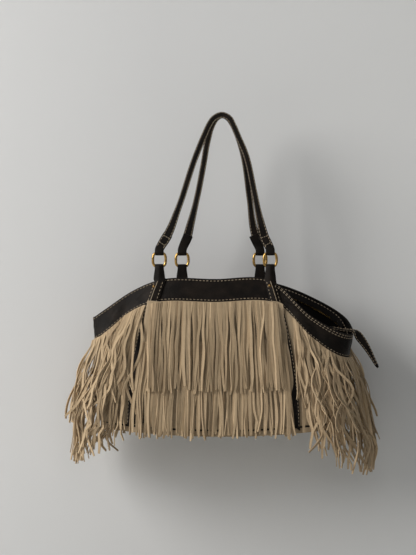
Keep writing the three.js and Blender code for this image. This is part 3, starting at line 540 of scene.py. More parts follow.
def thread_finish(name):
    """Waxed beige thread, a little soiled here and there."""
    finish = Finish(name, Sheen_Weight=0.2)
    soil = finish.ramp(finish.noise(7, 2, 0.5), 0.35, 0.7)
    ply = finish.noise(0.3, 2, 0.5)
    finish.set(
        Base_Color=finish.blend(soil * 0.8, (0.42, 0.33, 0.22, 1), (0.24, 0.18, 0.115, 1)),
        Roughness=0.6 + ply * 0.2,
    )
    finish.bump(ply, 0.15, 0.6)
    return finish.material


SUEDE = suede_finish("suede_panel", (0.43, 0.325, 0.205, 1), (0.27, 0.195, 0.115, 1))
STRANDS = suede_finish("suede_strands", (0.51, 0.375, 0.226, 1), (0.3, 0.213, 0.122, 1), tones=True)
LEATHER = leather_finish("band_leather")
LINING_CLOTH = cloth_finish("lining_cloth", (0.005, 0.0043, 0.004, 1), 0.5, 0.78)
TAPE_CLOTH = cloth_finish("tape_cloth", (0.009, 0.008, 0.0075, 1), 0.35, 0.2)
BRASS = brass_finish("aged_brass")
DARK_BRASS = brass_finish("dark_brass", (0.13, 0.075, 0.025, 1), (0.04, 0.025, 0.012, 1))
THREAD = thread_finish("waxed_thread")


def piece(name, shapes, material, slot, stands_for=(), body="bag", **details):
    """A finished piece of the bag that rides on a body and stands for the CAD nodes it is named with."""
    obj = to_mesh(name, shapes, **details)
    obj.data.materials.append(material)
    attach(obj, body)
    if stands_for:
        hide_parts(*stands_for)
    return obj


def wall_layer(places, top, bottom, inner, outer, rows, looped=False, bulge=None):
    """A layer of the wall with rounded edges, carried along places.

    Its section goes down the outer face, round the lower edge, up the inner face and round the
    upper edge. top and bottom give h at each place, and bulge moves both faces outward.
    """
    half = (outer - inner) / 2
    turn = np.linspace(0, np.pi, 6)[1:-1]
    share = np.linspace(0, 1, rows)
    ones = np.ones_like(share)
    rim = np.ones_like(turn)
    along = np.concatenate([share, rim, share[::-1], 0 * rim])
    edge = np.concatenate([0 * ones, half * np.sin(turn), 0 * ones, -half * np.sin(turn)])
    lift = np.concatenate([ones, np.cos(turn), -ones, -np.cos(turn)]) * half
    u = np.asarray(places)[:, None]
    top = (np.asarray(top) * np.ones(len(places)))[:, None] + half
    bottom = (np.asarray(bottom) * np.ones(len(places)))[:, None] - half
    h = mix(top, bottom, along) + edge
    d = (inner + outer) / 2 + lift + (bulge(u, h) if bulge else 0)
    return tubes(wall(u, h, d), looped)


def stitch_row(place_at, count, pitch=STITCH_PITCH, length=STITCH_LENGTH, radius=THREAD_RADIUS):
    """A row of stitches: short round threads, arched so that both ends dip into the leather.

    place_at(s) gives the point and the unit vector out of the leather at s stitches along the row.
    """
    t = np.linspace(-0.5, 0.5, 5)
    centre = np.arange(count)[:, None] + 0.5
    s = centre + t * (length / pitch)
    point, out = place_at(s)
    point = point + out * ((1 - (2 * t) ** 4) * radius * 1.5 - radius * 0.9)[:, None]
    ahead = unit(np.gradient(point, axis=1))
    side = unit(np.cross(ahead, out))
    up = np.cross(side, ahead)
    angle = circle(6)
    slim = radius * (1 - 0.5 * (2 * t) ** 6)[:, None, None]
    ring = side[..., None, :] * np.cos(angle)[:, None] + up[..., None, :] * np.sin(angle)[:, None]
    return tubes(point[..., None, :] + ring * slim)


def wall_stitches(u0, u1, h, d, pitch=STITCH_PITCH):
    """A stitch row round the wall at h, on the face at d. h may be a function of the place."""
    depth = h if callable(h) else (lambda u: h + 0 * u)
    fine = np.linspace(u0, u1, 600)
    points = wall(fine, depth(fine), d)
    run = run_along(points)
    count = int(run[-1] / pitch)

    def place_at(s):
        u = np.interp(s * run[-1] / count, run, fine)
        return wall(u, depth(u), d), outward(u, depth(u)) * (1 if d > 0 else -1)

    return stitch_row(place_at, count, pitch)


def leather_swell(u, h):
    """The band's leather stands off the wall by up to a millimetre in long soft waves."""
    edge = np.sin(np.pi * np.clip(h / BAND_HEIGHT, 0, 1))
    return edge * (0.45 * ripple(u, 9, 3) + 0.25 * ripple(u + h * 0.03, 23, 4)) + 0.25 * edge


def panel_end(u):
    """Where a panel ends, just above the piping."""
    return wall_depth(u) - BASE_LIP - 2 * PIPING_RADIUS - 0.6


def make_bands_and_panels():
    """The leather bands round the mouth with their two stitch rows, and the suede panels below."""
    gap = 0.004
    for side, (u0, u1) in SIDES.items():
        places = even_places(u0 + gap, u1 - gap, 20, 3)
        band = wall_layer(places, 0, BAND_HEIGHT, BAND_INNER, BAND_OUTER, 10, bulge=leather_swell)
        piece(f"{side}_band_leather", [band], LEATHER, "leather", [f"{side}_band"])
        rows = [
            wall_stitches(u0 + 0.09, u1 - 0.09, 3.2, BAND_OUTER + 0.1),
            wall_stitches(u0 + 0.09, u1 - 0.09, BAND_HEIGHT - 3.2, BAND_OUTER + 0.1),
        ]
        if side == "right":
            rows.append(wall_stitches(u0 + 0.12, OPEN_END, 6.8, BAND_OUTER + 0.4))
            rows.append(wall_stitches(OPEN_END + 0.2, u1 - 0.12, 6, TAPE_FACE - 0.1))
        piece(f"{side}_band_stitches", rows, THREAD, "thread")
        places = even_places(u0 + gap, u1 - gap, 140, 5)
        panel = wall_layer(places, BAND_HEIGHT + 0.3, panel_end(places), BAND_INNER, BAND_OUTER, 26)
        piece(f"{side}_suede_panel", [panel], SUEDE, "suede", [f"{side}_panel"])


def tray(heights, sides, floors, drop):
    """Rings of a tray: down the wall at heights, then inward along the floor.

    sides is the tray's d, floors the shares of the way out from the middle, and drop lifts the
    floor above the base's underside.
    """
    u = np.linspace(0, AROUND, 241)[:-1]
    down = [wall(u, h(u), sides) for h in heights]
    middle = np.array([(BASE_LEFT_X + BASE_RIGHT_X) / 2, 0, 0])
    edge = wall(u, wall_depth(u), sides)
    floor = []
    for share in floors:
        point = mix(middle, edge, share)
        point[:, 2] = base_height(point[:, 0]) + drop
        floor.append(point)
    pole = np.array([middle[0], 0, base_height(middle[0]) + drop])
    return down, floor, pole


def shell(outer, inner):
    """A closed shell between two trays, joined at their top edges."""
    down, floor, pole = outer
    inner_down, inner_floor, inner_pole = inner
    rings = floor[::-1] + down[::-1] + inner_down + inner_floor
    return domed(np.array(rings), pole, inner_pole)


def make_base():
    """The suede base, turned up in a lip, and the dark cord in the seam above it."""
    corner = 4
    shares = (0.985, 0.95, 0.85, 0.7, 0.5, 0.25)

    def heights(drop):
        turn = np.linspace(0, np.pi / 2, 5)[1:]
        lip = [lambda u, k=k: wall_depth(u) - BASE_LIP + k for k in (0, 0.5, 2)]
        bend = [lambda u, a=a: wall_depth(u) - drop - corner * (1 - math.sin(a)) for a in turn]
        return lip + bend

    outer = tray(heights(0), BAND_OUTER, shares, 0)
    inner = tray(heights(2.3), BAND_INNER, shares, 2.3)
    piece("base_suede", [shell(outer, inner)], SUEDE, "suede", ["base_panel"])

    u = even_places(0, AROUND, 200, 2.6)[:-1]
    angle = circle(8)
    h = (wall_depth(u) - BASE_LIP - PIPING_RADIUS - 0.3)[:, None] - PIPING_RADIUS * np.sin(angle)
    d = BAND_OUTER - PIPING_RADIUS * (1 - np.cos(angle))
    cord = tubes(wall(u[:, None], h, d), looped=True)
    piece("seam_piping", [cord], LEATHER, "leather", ["base_piping"])


def make_lining():
    """The cloth lining: a sack inside the walls."""
    floor = 2.3 + 0.3 + LINING
    shares = (0.9, 0.7, 0.4)

    def heights(drop):
        return [lambda u, k=k: mix(2, wall_depth(u) - drop, k) for k in np.linspace(0, 1, 16)]

    outer = tray(heights(floor - LINING), LINING, shares, floor - LINING)
    inner = tray(heights(floor), 0, shares, floor)
    lining = piece("lining_sack", [shell(outer, inner)], LINING_CLOTH, "lining", ["lining"])


def flare(u, h):
    """The strands swing away from the wall round both ends of the bag, more the lower they are."""
    share = np.clip((h - BAND_HEIGHT) / STRAND_LENGTH, 0, 1)
    right = share**0.8 * (1 - 0.24 * smooth((h - BAND_HEIGHT - STRAND_LENGTH) / SECOND_ROW))
    ends = RIGHT_FLARE * smooth(1 - np.abs(u - OPEN_END) / 2.6) * right
    return ends + LEFT_FLARE * smooth(1 - np.abs(u - FOLD) / 2.6) * smooth(share)


def strap_half(h):
    """Half a strap's width, which grows evenly from 18 at the top edge to 26 at the base."""
    return mix(18, 26, np.clip(h / BODY_HEIGHT, 0, 1)) / 2


def strands(u0, u1, top, layer, wild, sweep, over, plumb, pitch, spread, extra, seed):
    """One strip's strands. Each is a thin four-sided ribbon that hangs from the strip's seam.

    A strand's line is the wall's own surface below its place, moved outward by the flare and
    sideways by a wander of two waves that grows on the way down; neighbours share part of it. Its
    width turns about that line by an angle that grows too.
    """
    own = np.random.default_rng(seed)
    u = even_places(u0, u1, top + 40, pitch)
    count = len(u)
    t = np.linspace(0, 1, STRAND_STEPS)
    length = (STRAND_LENGTH + extra) * (1 + own.normal(0, 0.022, count))[:, None]
    away = wild(u)[:, None]
    h = top + length * t * (1 - 0.12 * away * own.uniform(0, 1, (count, 1)))
    place = plumb_places(u[:, None] + 0 * h, top, h, plumb)

    def wave(low, high, size):
        speed = own.uniform(low, high, (count, 1))
        start = own.uniform(0, 2 * np.pi, (count, 1))
        return size * own.normal(0, 1, (count, 1)) * (np.sin(speed * t + start) - np.sin(start))

    lean = own.normal(0, 1, (count, 1)) * t**1.4
    curl = np.clip(own.standard_t(3, (count, 1)), -4, 4) * t**3
    shared = ripple(u, 22, seed + 1)[:, None] * t**1.5 + 0.6 * away * ripple(u, 90, seed + 2)[:, None] * t
    aside = (spread + 5 * away) * lean + (0.5 * spread + 10 * away) * curl + (0.8 + 7 * away) * shared
    aside = aside + wave(3, 7, 0.8 + 6 * away) + wave(8, 15, 0.5 + 2.8 * away) * smooth(t * 3)
    aside = aside + sweep(u)[:, None] * t**1.3
    depth = own.uniform(0, 1, (count, 1))
    proud = layer(h) + over(u)[:, None] + (0.3 + 0.7 * smooth(t * 4)) * depth * (1.5 + 6 * away)
    proud = proud + np.abs(wave(3, 8, 0.4 + 1.8 * away))
    proud = proud + away * (4 * own.normal(0, 1, (count, 1)) * t**3 + wave(3, 8, 2.2) * t)
    proud = proud + flare(place, h) * (1 - 0.28 * depth * away)
    across = np.stack([-outward(place, h)[..., 1], outward(place, h)[..., 0], 0 * h], -1)
    line = wall(place, h, proud) + across * aside[..., None]

    ahead = unit(np.gradient(line, axis=1))
    side = unit(across - ahead * (across * ahead).sum(-1, keepdims=True))
    face = np.cross(ahead, side)
    turn = own.normal(0, 0.35 + 0.9 * away, (count, 1)) * t**0.8 + own.normal(0, 0.16, (count, 1))
    turn = (turn + wave(4, 9, 0.12 + 0.3 * away) * t)[..., None]
    side, face = side * np.cos(turn) + face * np.sin(turn), face * np.cos(turn) - side * np.sin(turn)
    half_width = STRAND_WIDTH * (0.42 + 0.05 * smooth(t * 3)) * (1 - 0.3 * smooth((t - 0.9) / 0.1))
    half_width = half_width * (1 + own.normal(0, 0.08, (count, 1)))
    half_thick = 0.65
    corners = np.array([(-1, -1), (1, -1), (1, 1), (-1, 1)])
    width = side[:, :, None] * (corners[:, 0] * half_width[..., None])[..., None]
    thick = face[:, :, None] * (corners[:, 1] * half_thick)[..., None]
    rings = line[:, :, None] + width + thick
    tone = np.clip(own.normal(0.5, 0.32, (count, 1, 1)) + 0 * rings[..., 0], 0, 1)
    return tubes(rings), tone.ravel()


def plumb_places(u, top, h, share):
    """Places round the bag that let a strand hang down from (u, top): share 1 keeps its x."""
    x = wall(u, h, BAND_OUTER)[..., 0]
    step = 0.02
    per_place = (wall(u + step, h, 0)[..., 0] - wall(u - step, h, 0)[..., 0]) / (2 * step)
    return u - share * (x - wall(u, top, BAND_OUTER)[..., 0]) / per_place


def strap_place(place, h, aside):
    """The place that lies aside millimetres along the wall from a strap's middle."""
    return place + aside / scale_at(place, h)


def upper_layer(h):
    """The upper strands' d: they leave the wall's face and come to lie over the lower strip."""
    return mix(LOWER_FRINGE + 0.8, UPPER_FRINGE + 0.6, smooth((h - BAND_HEIGHT) / (SECOND_ROW - 6)))


def lower_layer(h):
    """The lower strands' d: close to the wall."""
    return LOWER_FRINGE + 0.9 + 0 * h


def over_margins(u):
    """The front's outer strands lie over its uncut margins, which lie over the straps."""
    return 3.4 * smooth((np.abs(u) - 0.78) / 0.12)


# Each side's upper and lower strands: where they begin and end, in millimetres along the wall from
# the straps' middles, how far apart they are, how much longer they are than STRAND_LENGTH, and how
# nearly they hang plumb
FRINGE_ROWS = {
    "front": ((1, -1, 3.1, 0, 0.7), (4, -3, 2.05, 9, 0.15)),
    "right": ((31, -13, 2.4, -6, 0), (29, -14, 2.4, -15, 0)),
    "back": ((13, -13, 3.1, 0, 0.7), (14, -14, 2.05, 9, 0.15)),
    "left": ((13, -14, 2.4, -4, 0), (14, -25, 2.4, -4, 0)),
}
STRAND_SPREAD = (1.1, 3)


def make_fringe():
    """Two rows of strands on each side of the bag, wilder towards the fold and the open end."""

    def near_end(end):
        return lambda u: 0.2 + 0.8 * smooth(1.15 - (np.abs(u - end) - 0.6) / 2.5)

    def towards(end, size):
        """Strands sweep along the wall towards the end of their wing, but not at either side of it."""

        def sweep(u):
            far = np.abs(u - end)
            return -size * np.sign(u - end) * smooth(far / 0.9) * smooth((3.1 - far) / 1.6)

        return sweep

    calm = (lambda u: 0.1 + 0 * u, lambda u: 0 * u)
    ways = {
        "front": calm,
        "right": (near_end(OPEN_END), towards(OPEN_END, 20)),
        "back": calm,
        "left": (near_end(FOLD), towards(FOLD, 16)),
    }
    rows = (("upper", BAND_HEIGHT + 0.6, upper_layer), ("lower", BAND_HEIGHT + SECOND_ROW, lower_layer))
    for number, (side, (u0, u1)) in enumerate(SIDES.items()):
        wild, sweep = ways[side]
        over = over_margins if side == "front" else (lambda u: 0 * u)
        for row, (level, top, layer) in enumerate(rows):
            first, last, pitch, extra, plumb = FRINGE_ROWS[side][row]
            ends = strap_place(u0, top, first), strap_place(u1, top, last)
            seed = 100 + 10 * number + row
            made, tone = strands(
                *ends, top, layer, wild, sweep, over, plumb, pitch, STRAND_SPREAD[row], extra, seed
            )
            header = wall_layer(
                even_places(*ends, top, 3), top - 1, top + 3, layer(top) - 0.7, layer(top) + 0.4, 4
            )
            name = f"{side}_{level}_strands"
            piece(name, [made], STRANDS, "suede", [f"{side}_{level}_fringe"], tones=tone, sharp=40)
            tones = np.full(len(header[0]), 0.5)
            piece(f"{side}_{level}_seam", [header], STRANDS, "suede", tones=tones)


# Where the front's uncut margins end beside the straps: heights, and distances from a strap's middle
FLAP_HEIGHTS = (30, 55, 95, 140, 176, 232)
FLAP_LEFT_EDGE = (-9, -3, 5, 5, 4, 7)
FLAP_RIGHT_EDGE = (13, 7, 3, 1, -3, -2)


def make_flaps():
    """The front's uncut suede margins, which lie over the inner halves of its two straps.

    Each is a sheet of rows across the wall, from its free edge to the first strands, 1.3 thick. A
    second one of the same outline hangs over its lower part, from the lower strip's seam.
    """
    for name, place, edge, inner in (
        ("left", -1, FLAP_LEFT_EDGE, 14),
        ("right", 1, FLAP_RIGHT_EDGE, -14),
    ):
        shapes = []
        for top, foot, d in ((30, 112, STRAP_OUTER + 0.5), (98, 228, STRAP_OUTER + 1.7)):
            share = np.linspace(0, 1, 10)[None]
            h = mix(top + 6.5 * share, foot, np.linspace(0, 1, 40)[:, None])
            free = np.interp(h, FLAP_HEIGHTS, edge) + 0.5 * ripple(h, 0.16, 40)
            far = inner * (1 - 0.2 * smooth((h - 100) / 100))
            u = strap_place(place, h, mix(free, far, share))
            swell = 0.7 * ripple(h * 0.05 + share, 2.5, 50 + top) * share * (1 - share) * 4
            lean = smooth((30 - h + 14) / 14) * 2.2
            faces = [wall(u, h, d + swell + lean + k * (1 - 0.7 * (share < 0.01))) for k in (0.65, -0.65)]
            shapes.append(tubes(np.concatenate([faces[0], faces[1][:, ::-1]], 1)))
        piece(f"front_{name}_margin", shapes, SUEDE, "suede")


def ribbon(path, across, half_width, half_thick, sides=16, power=3.2):
    """A strip carried along path, lying along across, with a rounded oblong section.

    The section is a superellipse: |x/half_width|^power + |y/half_thick|^power = 1.
    """
    ahead = unit(np.gradient(path, axis=0))
    side = unit(across - ahead * (across * ahead).sum(-1, keepdims=True))
    face = np.cross(ahead, side)
    x, y = oblong(circle(sides) + np.pi / sides, 2 / power)
    width = side[:, None] * (x * np.reshape(half_width, (-1, 1)))[..., None]
    thick = face[:, None] * (y * np.reshape(half_thick, (-1, 1)))[..., None]
    return path[:, None] + width + thick, side, face


def open_line(points):
    """A smooth line through points, at whole numbers of t: a cubic between each two of them."""
    p = np.array(points, float)
    chord = np.linalg.norm(np.diff(p, axis=0), axis=1)[:, None]
    run = np.diff(p, axis=0) / chord
    inner = (run[:-1] * chord[1:] + run[1:] * chord[:-1]) / (chord[:-1] + chord[1:])
    slope = np.concatenate([run[:1], inner, run[-1:]])

    def at(t):
        i = np.clip(np.floor(t).astype(int), 0, len(p) - 2)
        f = (t - i)[..., None]
        return cubic(p[i], p[i + 1], slope[i] * chord[i], slope[i + 1] * chord[i], f)

    return at


def evenly(points, steps):
    """The smooth line through points, as steps points an even distance apart."""
    at = open_line(points)
    fine = np.linspace(0, len(points) - 1, 3000)
    line = at(fine)
    run = run_along(line)
    return at(np.interp(np.linspace(0, run[-1], steps), run, fine)), run[-1]


def line_stitches(path, side, face, offset, lift, first, last, pitch=STITCH_PITCH * 0.9):
    """Stitches along part of a ribbon's path, offset across it and lifted off its middle."""
    row = path + side * np.reshape(offset, (-1, 1)) + face * np.reshape(lift, (-1, 1))
    row, out = row[first:last], (face * np.reshape(np.sign(lift), (-1, 1)))[first:last]
    run = run_along(row)
    count = max(1, int(run[-1] / pitch))

    def place_at(s):
        at = s * run[-1] / count
        point = np.stack([np.interp(at, run, row[:, k]) for k in range(3)], -1)
        up = np.stack([np.interp(at, run, out[:, k]) for k in range(3)], -1)
        return point, unit(up)

    return stitch_row(place_at, count, pitch, pitch * 0.68)


def make_straps():
    """Each strap runs up from the base over the band, round its ring's lower bar and down inside.

    Its rows lie across the wall; above the band they narrow and turn round the bar in a half circle.
    The part over the band is pinched to a low ridge along its middle.
    """
    loop = (STRAP_INNER + STRAP_OUTER) / 2 - BAND_OUTER / 2
    half = (STRAP_OUTER - STRAP_INNER) / 2
    across = np.linspace(-1, 1, 9)
    for corner, place, x, face in HANGERS:
        pinch = 2.6 if face < 0 else 0.5
        rows = []

        def wall_row(h, d, width):
            u = strap_place(place, h, width * across)
            ridge = pinch * (1 - np.abs(across)) * smooth((BAND_HEIGHT + 2 - h) / 10) * (d > 0)
            middle = wall(u, h + 0 * u, d + ridge)
            return middle, outward(u, h + 0 * u) * (1 if d > 0 else -1)

        def loop_row(angle, rise, width):
            middle = np.zeros((len(across), 3))
            out = np.zeros((len(across), 3))
            ridge = pinch * (1 - np.abs(across)) * max(0, math.cos(angle))
            out[:, 1], out[:, 2] = face * math.cos(angle), math.sin(angle)
            middle[:, 0] = x + width * across
            middle[:, 1] = face * (RING_Y + math.cos(angle) * (loop + ridge))
            middle[:, 2] = LOWER_BAR_Z + math.sin(angle) * loop - rise
            return middle, out

        outside = (STRAP_INNER + STRAP_OUTER) / 2
        for h in np.linspace(panel_end(np.array(place)), 0, 64):
            rows.append(wall_row(h, outside, strap_half(h)))
        for share in np.linspace(0.15, 1, 6):
            rows.append(loop_row(0, (LOWER_BAR_Z - STRAP_Z) * (1 - share), mix(9, 7, smooth(share * 1.6))))
        for angle in np.linspace(0, np.pi, 11)[1:-1]:
            rows.append(loop_row(angle, 0, 7))
        for share in np.linspace(0, 1, 6):
            rows.append(loop_row(math.pi, (LOWER_BAR_Z - STRAP_Z - 1) * share, mix(7, 9, smooth(share))))
        for h in np.linspace(3, 24, 6):
            rows.append(wall_row(h, -1.8, 9))
        middle = np.array([row[0] for row in rows])
        out = np.array([row[1] for row in rows])
        edge = np.sqrt(1 - 0.75 * np.abs(across) ** 6)[None, :, None]
        rings = np.concatenate([middle + out * half * edge, (middle - out * half * edge)[:, ::-1]], 1)
        piece(f"{corner}_strap_leather", [tubes(rings)], LEATHER, "leather", [f"{corner}_strap"])
        sewn = []
        foot = float(panel_end(np.array(place))) - 4
        for k in (1, 7):
            sewn.append(strap_stitches(place, across[k] * 0.98, 4, foot, STRAP_OUTER + 0.35))
        if face < 0:
            crease = STRAP_OUTER + pinch + 0.1
            sewn.append(strap_stitches(place, 0, 2, BAND_HEIGHT - 4, crease, STITCH_PITCH * 1.25))
        piece(f"{corner}_strap_stitches", sewn, THREAD, "thread")


def strap_stitches(place, share, top, foot, d, length=STITCH_LENGTH):
    """Stitches down a strap, at a share of its half width from its middle, on its face at d."""
    count = int((foot - top) / STITCH_PITCH)

    def place_at(s):
        h = mix(top, foot, s / count)
        u = strap_place(place, h, strap_half(h) * share)
        return wall(u, h, d), outward(u, h)

    return stitch_row(place_at, count, length=length)


def make_rings():
    """Four rings of round wire, each bent to an oblong with round corners.

    A ring's middle line is a superellipse in the plane of the wall, standing on its lower bar.
    """
    sides = circle(16)
    half_width, half_height = RING_WIDTH / 2 - WIRE_RADIUS, RING_HEIGHT / 2 - WIRE_RADIUS
    round_x, round_z = oblong(circle(96), 2 / 2.9)
    up = np.array([0, 1, 0])
    for corner, _, x, face in HANGERS:
        line = np.stack([
            x + half_width * round_x,
            np.full(len(round_x), face * RING_Y),
            LOWER_BAR_Z + half_height + half_height * round_z,
        ], -1)
        ahead = unit(np.roll(line, -1, 0) - np.roll(line, 1, 0))
        across = np.stack([-ahead[:, 2], 0 * round_x, ahead[:, 0]], -1)
        rings = line[:, None] + DRAWN_WIRE_RADIUS * (
            across[:, None] * np.cos(sides)[:, None] + up * np.sin(sides)[:, None]
        )
        body = "front_rings" if face < 0 else "back_rings"
        name = f"{corner}_ring_wire"
        piece(name, [tubes(rings, looped=True)], BRASS, "brass", [f"{corner}_ring"], body=body)


def make_rivets():
    """Each strap's rivet: a domed brass cap with a rolled rim, turned about the wall's normal."""
    profile = np.array([(3, 0), (3.1, 0.35), (2.9, 0.75), (2.5, 0.85), (2.2, 1.2), (1.6, 1.65), (0.8, 1.95)])
    turn = circle(28)
    for corner, place, _, face in HANGERS:
        u = strap_place(place, 10, face * 3)
        up = outward(u, 10)
        foot = wall(u, 10, STRAP_OUTER + (0.9 if face < 0 else 0.3))
        side = np.cross(up, (0, 0, 1))
        other = np.cross(up, side)
        rim = side * np.cos(turn)[:, None] + other * np.sin(turn)[:, None]
        rings = foot + rim * profile[:, 0][:, None, None] + up * profile[:, 1][:, None, None]
        cap = domed(rings, foot, foot + up * 2)
        piece(f"{corner}_rivet_cap", [cap], DARK_BRASS, "brass", [f"{corner}_rivet"])


# How each leg of a handle spreads: shares of its ring's distance from the middle and of the drop
HANDLE_LEGS = {
    "front": (
        ((0.143, 0.028), (0.204, 0.068), (0.276, 0.137), (0.43, 0.31), (0.7, 0.68), (0.89, 0.89)),
        (
            (0.149, 0.026), (0.216, 0.068), (0.331, 0.159), (0.47, 0.27), (0.66, 0.55), (0.8, 0.78),
            (0.92, 0.92),
        ),
    ),
    "back": (
        ((0.15, 0.022), (0.25, 0.07), (0.36, 0.18), (0.47, 0.36), (0.6, 0.56), (0.79, 0.79), (0.92, 0.92)),
        ((0.16, 0.022), (0.26, 0.06), (0.38, 0.13), (0.52, 0.25), (0.72, 0.6), (0.82, 0.81), (0.93, 0.93)),
    ),
}
HANDLE_TOP = 6.6
HANDLE_END = 34  # along the handle, from its tip to where it leaves the ring
HANDLE_LAYER = 1.15  # half of a handle end's leather


def handle_end(x, face, lean):
    """The doubled end at a ring, from the tip of the inner layer, round the bar and up the outer one.

    lean is how far the handle above moves in x and y for each millimetre that it rises.
    """
    bar = LOWER_BAR_Z + RING_HEIGHT - 2 * WIRE_RADIUS
    eye = 3.4
    points = [(-HANDLE_LAYER, 28), (-HANDLE_LAYER, 18), (-HANDLE_LAYER, 10), (-eye * 0.8, 4)]
    points += [(-eye * math.cos(a), -eye * math.sin(a)) for a in np.linspace(0.1, np.pi - 0.1, 7)]
    points += [(eye * 0.8, 4), (HANDLE_LAYER, 10), (HANDLE_LAYER, 17)]
    rise = [max(0, up - 6) for _, up in points]
    return [
        (x + lean[0] * r, face * (RING_Y + out) + lean[1] * r, bar + up)
        for (out, up), r in zip(points, rise)
    ]


def make_handle(side, straps, face):
    """A handle: one strip from a folded end, over the hanging point and round to the other end.

    Its section goes from flat and 18 wide at the rings to folded and 10.5 wide along the middle.
    """
    left_leg, right_leg = HANDLE_LEGS[side]
    bar = -HANDLE_DROP
    top_y = face * 5.5

    def leg_point(x, out, down):
        return (x * out, mix(top_y, face * (RING_Y + HANDLE_LAYER), down), mix(HANDLE_TOP, bar, down))

    left = [leg_point(straps[0], *share) for share in left_leg][::-1]
    right = [leg_point(straps[1], *share) for share in right_leg]

    def lean(x, point):
        rise = point[2] - bar - 6
        return ((point[0] - x) / rise, (point[1] - face * (RING_Y + HANDLE_LAYER)) / rise)

    start = handle_end(straps[0], face, lean(straps[0], left[0]))
    end = handle_end(straps[1], face, lean(straps[1], right[-1]))[::-1]
    points = start + left + [(0, top_y, HANDLE_TOP)] + right + end
    path, length = evenly(points, 360)
    ahead = np.gradient(path, axis=0)
    across = np.cross((0, 1, 0), ahead)
    steep = np.abs(path[:, 2] - bar) < HANDLE_END
    turned = np.where((path[:, 0] < 0)[:, None], (1.0, 0, 0), (-1.0, 0, 0))
    across = np.where(steep[:, None], turned, across)
    run = np.linspace(0, length, len(path))
    from_ring = np.minimum(run, length - run) - HANDLE_END
    folded = smooth((from_ring - 16) / 80)
    narrow = smooth((20 - np.abs(path[:, 2] - bar)) / 12)
    half_width = mix(mix(7.6, 7, narrow), 4.7, folded)
    half_thick = mix(1.05, 3.7, folded)
    rings, across, out = ribbon(path, across, half_width, half_thick, 20)
    outer = 1 if (out[len(out) // 6] * (0, face, 0)).sum() > 0 else -1
    body = f"{side}_handle"
    piece(f"{side}_handle_leather", [tubes(rings)], LEATHER, "leather", [body], body=body)

    sewn = []
    ends = int(len(path) * HANDLE_END / length)
    start_run = ends * length / len(path)
    for offset in (-1, 1):
        for way in (-1, 1):
            inset = (half_width - mix(1.9, 1.1, folded)) * offset
            lift = way * (half_thick * (1 - 0.14 * folded) + 0.15)
            sewn.append(line_stitches(path, across, out, inset, lift, ends + 12, len(path) - ends - 12))
    height = path[:, 2] - bar
    for up in (13, 24):
        near = np.flatnonzero((height > up) & (run > start_run))[0]
        far = np.flatnonzero((height > up) & (run < length - start_run))[-1]
        for at in (near, far):
            wide = half_width[at] - 1.9
            row = path[at] + across[at] * np.linspace(-wide, wide, 12)[:, None]
            face_out = np.repeat(out[at][None] * outer, 12, 0)
            sewn.append(line_stitches(row, face_out, face_out, 0, half_thick[at] + 0.1, 0, 12, 3.4))
    piece(f"{side}_handle_stitches", sewn, THREAD, "thread", body=body)


def make_zip():
    """The tapes, slider and puller keep their CAD shape; the teeth and the leather tail are new."""
    for node, material in (
        ("zip_tape_front", TAPE_CLOTH),
        ("zip_tape_back", TAPE_CLOTH),
        ("zip_slider", BRASS),
        ("zip_puller", BRASS),
    ):
        repaint(node, material)

    for side, face, ends in (
        ("front", -1, (FOLD + TAPE_FROM_FOLD + 0.1, AROUND + OPEN_END - 1)),
        ("back", 1, (OPEN_END + 1, FOLD - TAPE_FROM_FOLD - 0.1)),
    ):
        places = even_places(*ends, TAPE_FOOT, 2.9)[:, None, None]
        step = 0.8 / scale_at(places, TAPE_FOOT)
        u = places + step * np.array([-1, 1])[:, None]
        h = TAPE_FOOT + np.array([-1.5, -1.5, 1, 1])
        d = TAPE_FACE + np.array([-0.3, 1.5, 1.5, -0.3])
        tooth = wall(u + 0 * h, h + 0 * u, d + 0 * u)
        away = smooth((np.abs(u - FOLD) - TAPE_FROM_FOLD) / TAPE_MEETING)
        beside = SLIDER_WIDTH / 2 + SLIDER_GAP + d - TAPE_FACE
        tooth[..., 1] = mix(face * beside, tooth[..., 1], away)
        piece(f"zip_teeth_{side}", [tubes(tooth)], BRASS, "brass")

    rest = open_z + 2.1
    points = [
        (open_x - 34, -9, rest + 6),
        (open_x - 12, -9, rest + 1.8),
        (open_x + 3, -9, rest),
        (open_x + 15, -9, rest - 13.5),
        (open_x + 41, -9, rest - 57),
    ]
    path, _ = evenly(points, 90)
    t = np.linspace(0, 1, len(path))
    turn = smooth((t - 0.24) / 0.26) * 1.35
    across = np.stack([np.sin(turn), np.cos(turn), 0 * t], -1)
    half_width = mix(7, 2.6, smooth((t - 0.42) / 0.62)) * (1 - 0.35 * smooth((t - 0.95) / 0.05))
    rings, across, out = ribbon(path, across, half_width, 1.25 + 0 * t, 20, 3)
    piece("zip_tail_leather", [tubes(rings)], LEATHER, "leather", ["zip_tail"])
    sewn = [
        line_stitches(path, across, out, offset * (half_width - 1.4), way * (1.3 + 0 * t), 4, 86)
        for offset in (-1, 1) for way in (-1, 1)
    ]
    piece("zip_tail_stitches", sewn, THREAD, "thread")


def repaint(node, material):
    """Gives a CAD node that keeps its shape a finished material."""
    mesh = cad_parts[node].data
    mesh.materials.clear()
    mesh.materials.append(material)


